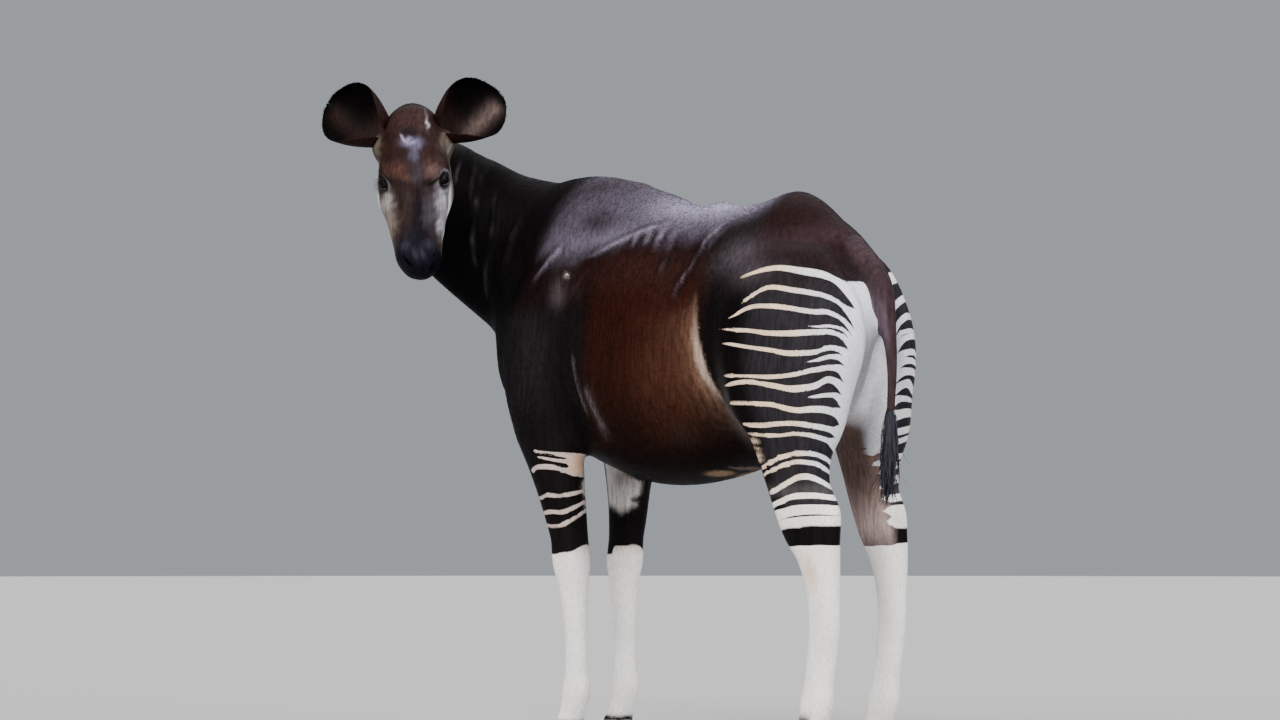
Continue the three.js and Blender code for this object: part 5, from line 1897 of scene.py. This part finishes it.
def atlasOf(points, isEar):
    # a point's place in the tile of the loft it lies nearest: the angle about the loft across, the share
    # of its length up, with a margin; an ear's points go by their place beside the head
    best, place = np.full(len(points), 9.0), np.zeros((len(points), 2))
    for name, loft in lofts.items():
        inside = np.flatnonzero(((points > loft["low"]) & (points < loft["high"])).all(1))
        if len(inside) == 0:
            continue
        d, along, angle = measure(points[inside], loft).T
        closer = np.abs(d) < best[inside]
        chosen = inside[closer]
        best[chosen] = np.abs(d[closer])
        inTile = np.stack([angle / (2 * math.pi) + 0.5, along], 1)[closer]
        place[chosen] = tiles[name][:2] + np.array(tiles[name][2:]) * (0.02 + 0.96 * inTile)
    h = toHead(points[isEar])
    inTile = np.clip(np.stack([(h[:, 0] + 60) / 220, (h[:, 1] + 270) / 540], 1), 0, 1)
    place[isEar] = tiles["ears"][:2] + np.array(tiles["ears"][2:]) * inTile
    return place


def sampleSkin(mesh, headless):
    # tufts' roots by area: a face by its region's number, none on eyes, nostrils, lips and soles, then a
    # place on it; the skin's points from headless on are the ears'
    mesh.calc_loop_triangles()
    flat = np.empty(len(mesh.loop_triangles) * 3, np.int32)
    mesh.loop_triangles.foreach_get("vertices", flat)
    corners = flat.reshape(-1, 3)
    points, normals = pointsOf(mesh), normalsOf(mesh)
    a, b, c = (points[corners[:, k]] for k in range(3))
    area = np.linalg.norm(np.cross(b - a, c - a), axis=1) / 2
    centres = (a + b + c) / 3
    isEar = corners[:, 0] >= headless
    region = regionOf(centres, isEar)
    h = toHead(centres)
    keep = np.ones(len(corners))
    for side in both:
        q = onEye(h, side)
        bare = (np.hypot(q[:, 0] / 27, (q[:, 1] + 1) / 17) < 1) & (q[:, 2] > 0)
        d, _ = nearLine(h, onSide(nostril["line"], side))
        keep[bare & (np.linalg.norm(q, axis=1) < 36) | (d < 6)] = 0
    keep[(np.abs(overLips(h)) < 5) & (h[:, 0] > 395) & inHeadBox(centres)] = 0
    keep[centres[:, 2] < 0.045] = 0
    picked = []
    for k, (count, *_) in enumerate(coatRegions.values()):
        weight = area * keep * (region == k)
        cumulated = np.cumsum(weight)
        picked.append(np.searchsorted(cumulated, luck.uniform(0, cumulated[-1], count)))
    face = np.concatenate(picked)
    label = np.repeat(np.arange(len(coatRegions)), [r[0] for r in coatRegions.values()])
    r1, r2 = np.sqrt(luck.uniform(0, 1, len(face))), luck.uniform(0, 1, len(face))
    share = np.stack([1 - r1, r1 * (1 - r2), r1 * r2], 1)[..., None]
    ids = corners[face]
    return (points[ids] * share).sum(1), unit((normals[ids] * share).sum(1)), label, isEar[face]


# A tuft's five corners, at the root, the middle and the tip: along the lie, beside it and above the skin,
# in lengths, half widths and lifts.
tuftShape = np.array([(0, 1, -0.4), (0, -1, -0.4), (0.45, 0.85, 0.5), (0.45, -0.85, 0.5), (1, 0, 0.6)])
tuftFaces = np.array([(0, 2, 3), (0, 3, 1), (2, 4, 3)])


def growCoat(mesh, headless):
    roots, normals, label, isEar = sampleSkin(mesh, headless)
    count = len(roots)
    way = lieOf(roots, normals, isEar)
    beside = np.cross(normals, way)
    swing = luck.normal(0, 0.16, count)[:, None]
    way, beside = way * np.cos(swing) + beside * np.sin(swing), beside * np.cos(swing) - way * np.sin(swing)
    length, width, lift = np.array([r[1:4] for r in coatRegions.values()])[label].T / 1000
    length = length * luck.uniform(0.65, 1.25, count)
    h = toHead(roots)
    length = length * np.where((label == regionNames.index("face")) & (h[:, 0] > 395), 0.55, 1)
    width = width * luck.uniform(0.7, 1.2, count) / 2
    lift = lift * luck.uniform(0.5, 1.4, count)
    points = roots[:, None]
    for column, (direction, size) in enumerate(((way, length), (beside, width), (normals, lift))):
        points = points + direction[:, None] * (tuftShape[:, column] * size[:, None])[..., None]
    colour, pale, phase, reach = coatOf(roots + 0.4 * length[:, None] * way)
    corners = len(tuftShape)
    phase, reach = np.tile(phase[:, None], corners), np.tile(reach[:, None], corners)
    striped = np.flatnonzero(np.isin(label, [regionNames.index(n) for n in ("haunch", "legs")]))
    for share, columns in ((0.0, (0, 1)), (1.0, (4,))):  # a stripe's edge runs across a tuft
        found = coatOf(roots[striped] + share * length[striped, None] * way[striped])
        for column in columns:
            phase[striped, column], reach[striped, column] = found[2], found[3]
    colour[isEar] = earColours(h[isEar])
    reach[isEar] = 0
    shade = luck.uniform(0.72, 1.30, count)
    patch = np.stack([(0.5 * tuftShape[:, 0] - 0.25) * 0.0045, tuftShape[:, 1] * 0.0014], 1)
    place = atlasOf(roots, isEar)[:, None] + patch
    for k, (name, (*_, slot)) in enumerate(coatRegions.items()):
        own = np.flatnonzero(label == k)
        faces = (np.arange(len(own))[:, None, None] * corners + tuftFaces).reshape(-1, 3)
        hair = makeMesh("coat" + name.capitalize(), points[own].reshape(-1, 3), faces)
        writeColour(hair, "coat", np.repeat(colour[own], corners, axis=0))
        writeColour(hair, "pale", np.repeat(pale[own], corners, axis=0))
        writeFloat(hair, "phase", phase[own].ravel())
        writeFloat(hair, "reach", reach[own].ravel())
        writeFloat(hair, "shade", np.repeat(shade[own], corners))
        corner = place[own][:, tuftFaces.ravel()].reshape(-1, 2)
        hair.uv_layers.new(name="OFBake").data.foreach_set("uv", corner.astype(np.float32).ravel())
        addPiece(hair, coatStuff)
    print("coat:", count, "tufts")


flesh = [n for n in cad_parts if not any(w in n for w in ("eye", "hoof", "tuft"))]
addPiece(skinMesh, coatStuff, flesh)
growCoat(skinMesh, skinCount)


eyeLook = {  # half sizes of the level pupil and radii of the iris's edge, in millimetres
    "pupilAcross": 8.5,
    "pupilUp": 4.0,
    "iris": (14.0, 15.5),
    "pupilColour": (0.002, 0.002, 0.003, 1),
    "irisColour": (0.006, 0.004, 0.0035, 1),
    "whiteColour": (0.003, 0.0024, 0.0024, 1),  # nearly black, as the lids shade it
}
hornLook = {
    "colour": (0.035, 0.030, 0.028),
    "dark": (0.020, 0.016, 0.015, 1),
    "light": (0.075, 0.062, 0.055, 1),
    "roughness": 0.42,
    "specular": 0.4,
    "grain": (30, 30, 260),
    "detail": 3.0,
}
hairLook = {
    "colour": (0.02, 0.019, 0.025),
    "dark": (0.0040, 0.0040, 0.0062, 1),
    "light": (0.046, 0.044, 0.062, 1),
    "roughness": 0.6,
    "specular": 0.08,
    "grain": (420, 420, 16),
    "detail": 2.0,
}


def grained(name, look):
    made, tree, shader = newMaterial(name, look["colour"], look["roughness"], look["specular"])
    tone = mix(tree, stretchedNoise(tree, look["grain"], look["detail"]), look["dark"], look["light"])
    tree.links.new(tone, shader.inputs["Base Color"])
    return made


def eyeMaterial(look):
    # told apart by the ball's own coordinates; the pupil's edge is |a/half|^3 + |b/half|^2 = 1
    made, tree, shader = newMaterial("wetEye", (0.01, 0.007, 0.006), 0.05, 0.05)
    across, up = attributeOf(tree, "across"), attributeOf(tree, "up")

    def powered(value, half, power):
        return calc(tree, "POWER", calc(tree, "ABSOLUTE", calc(tree, "DIVIDE", value, half)), power)

    squares = calc(tree, "ADD", calc(tree, "MULTIPLY", across, across), calc(tree, "MULTIPLY", up, up))
    slit = calc(tree, "ADD", powered(across, look["pupilAcross"], 3.0), powered(up, look["pupilUp"], 2.0))
    iris = ramp(tree, calc(tree, "SQRT", squares), *look["iris"])
    inner = mix(tree, ramp(tree, slit, 0.8, 1.1), look["pupilColour"], look["irisColour"])
    tree.links.new(mix(tree, iris, inner, look["whiteColour"]), shader.inputs["Base Color"])
    return made


def addEyes():
    balls = [makeEyeball(side) for side in both]
    mesh = makeMesh("eyes", *joinParts([b[:2] for b in balls]))
    q = np.concatenate([b[2] for b in balls])
    writeFloat(mesh, "across", q[:, 0])
    writeFloat(mesh, "up", q[:, 1])
    addPiece(mesh, eyeMaterial(eyeLook), ("left_eye", "right_eye"))
    rimStuff = newMaterial("lidRim", (0.010, 0.007, 0.008), 0.35, 0.4)[0]
    rims = joinParts([makeLidRim(side) for side in both])
    addPiece(makeMesh("lidRims", *rims), rimStuff)
    hairs = joinParts([makeLashes(side) for side in both], closed=False)
    addPiece(makeMesh("lashes", *hairs), rimStuff)


def addHooves():
    hooves = joinParts([makeHoof(plan, inner) for plan in legPlans.values() for inner in (1, -1)])
    horn = grained("horn", hornLook)
    nodes = [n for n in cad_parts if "hoof" in n]
    addPiece(makeMesh("hooves", *hooves), horn, nodes)


def addTuft():
    hair = grained("tailHair", hairLook)
    addPiece(makeMesh("tailTuft", *makeTuft()), hair, ("tail_tuft",))


addEyes()
addHooves()
addTuft()
print("eyes, hooves and tail tuft are in place")
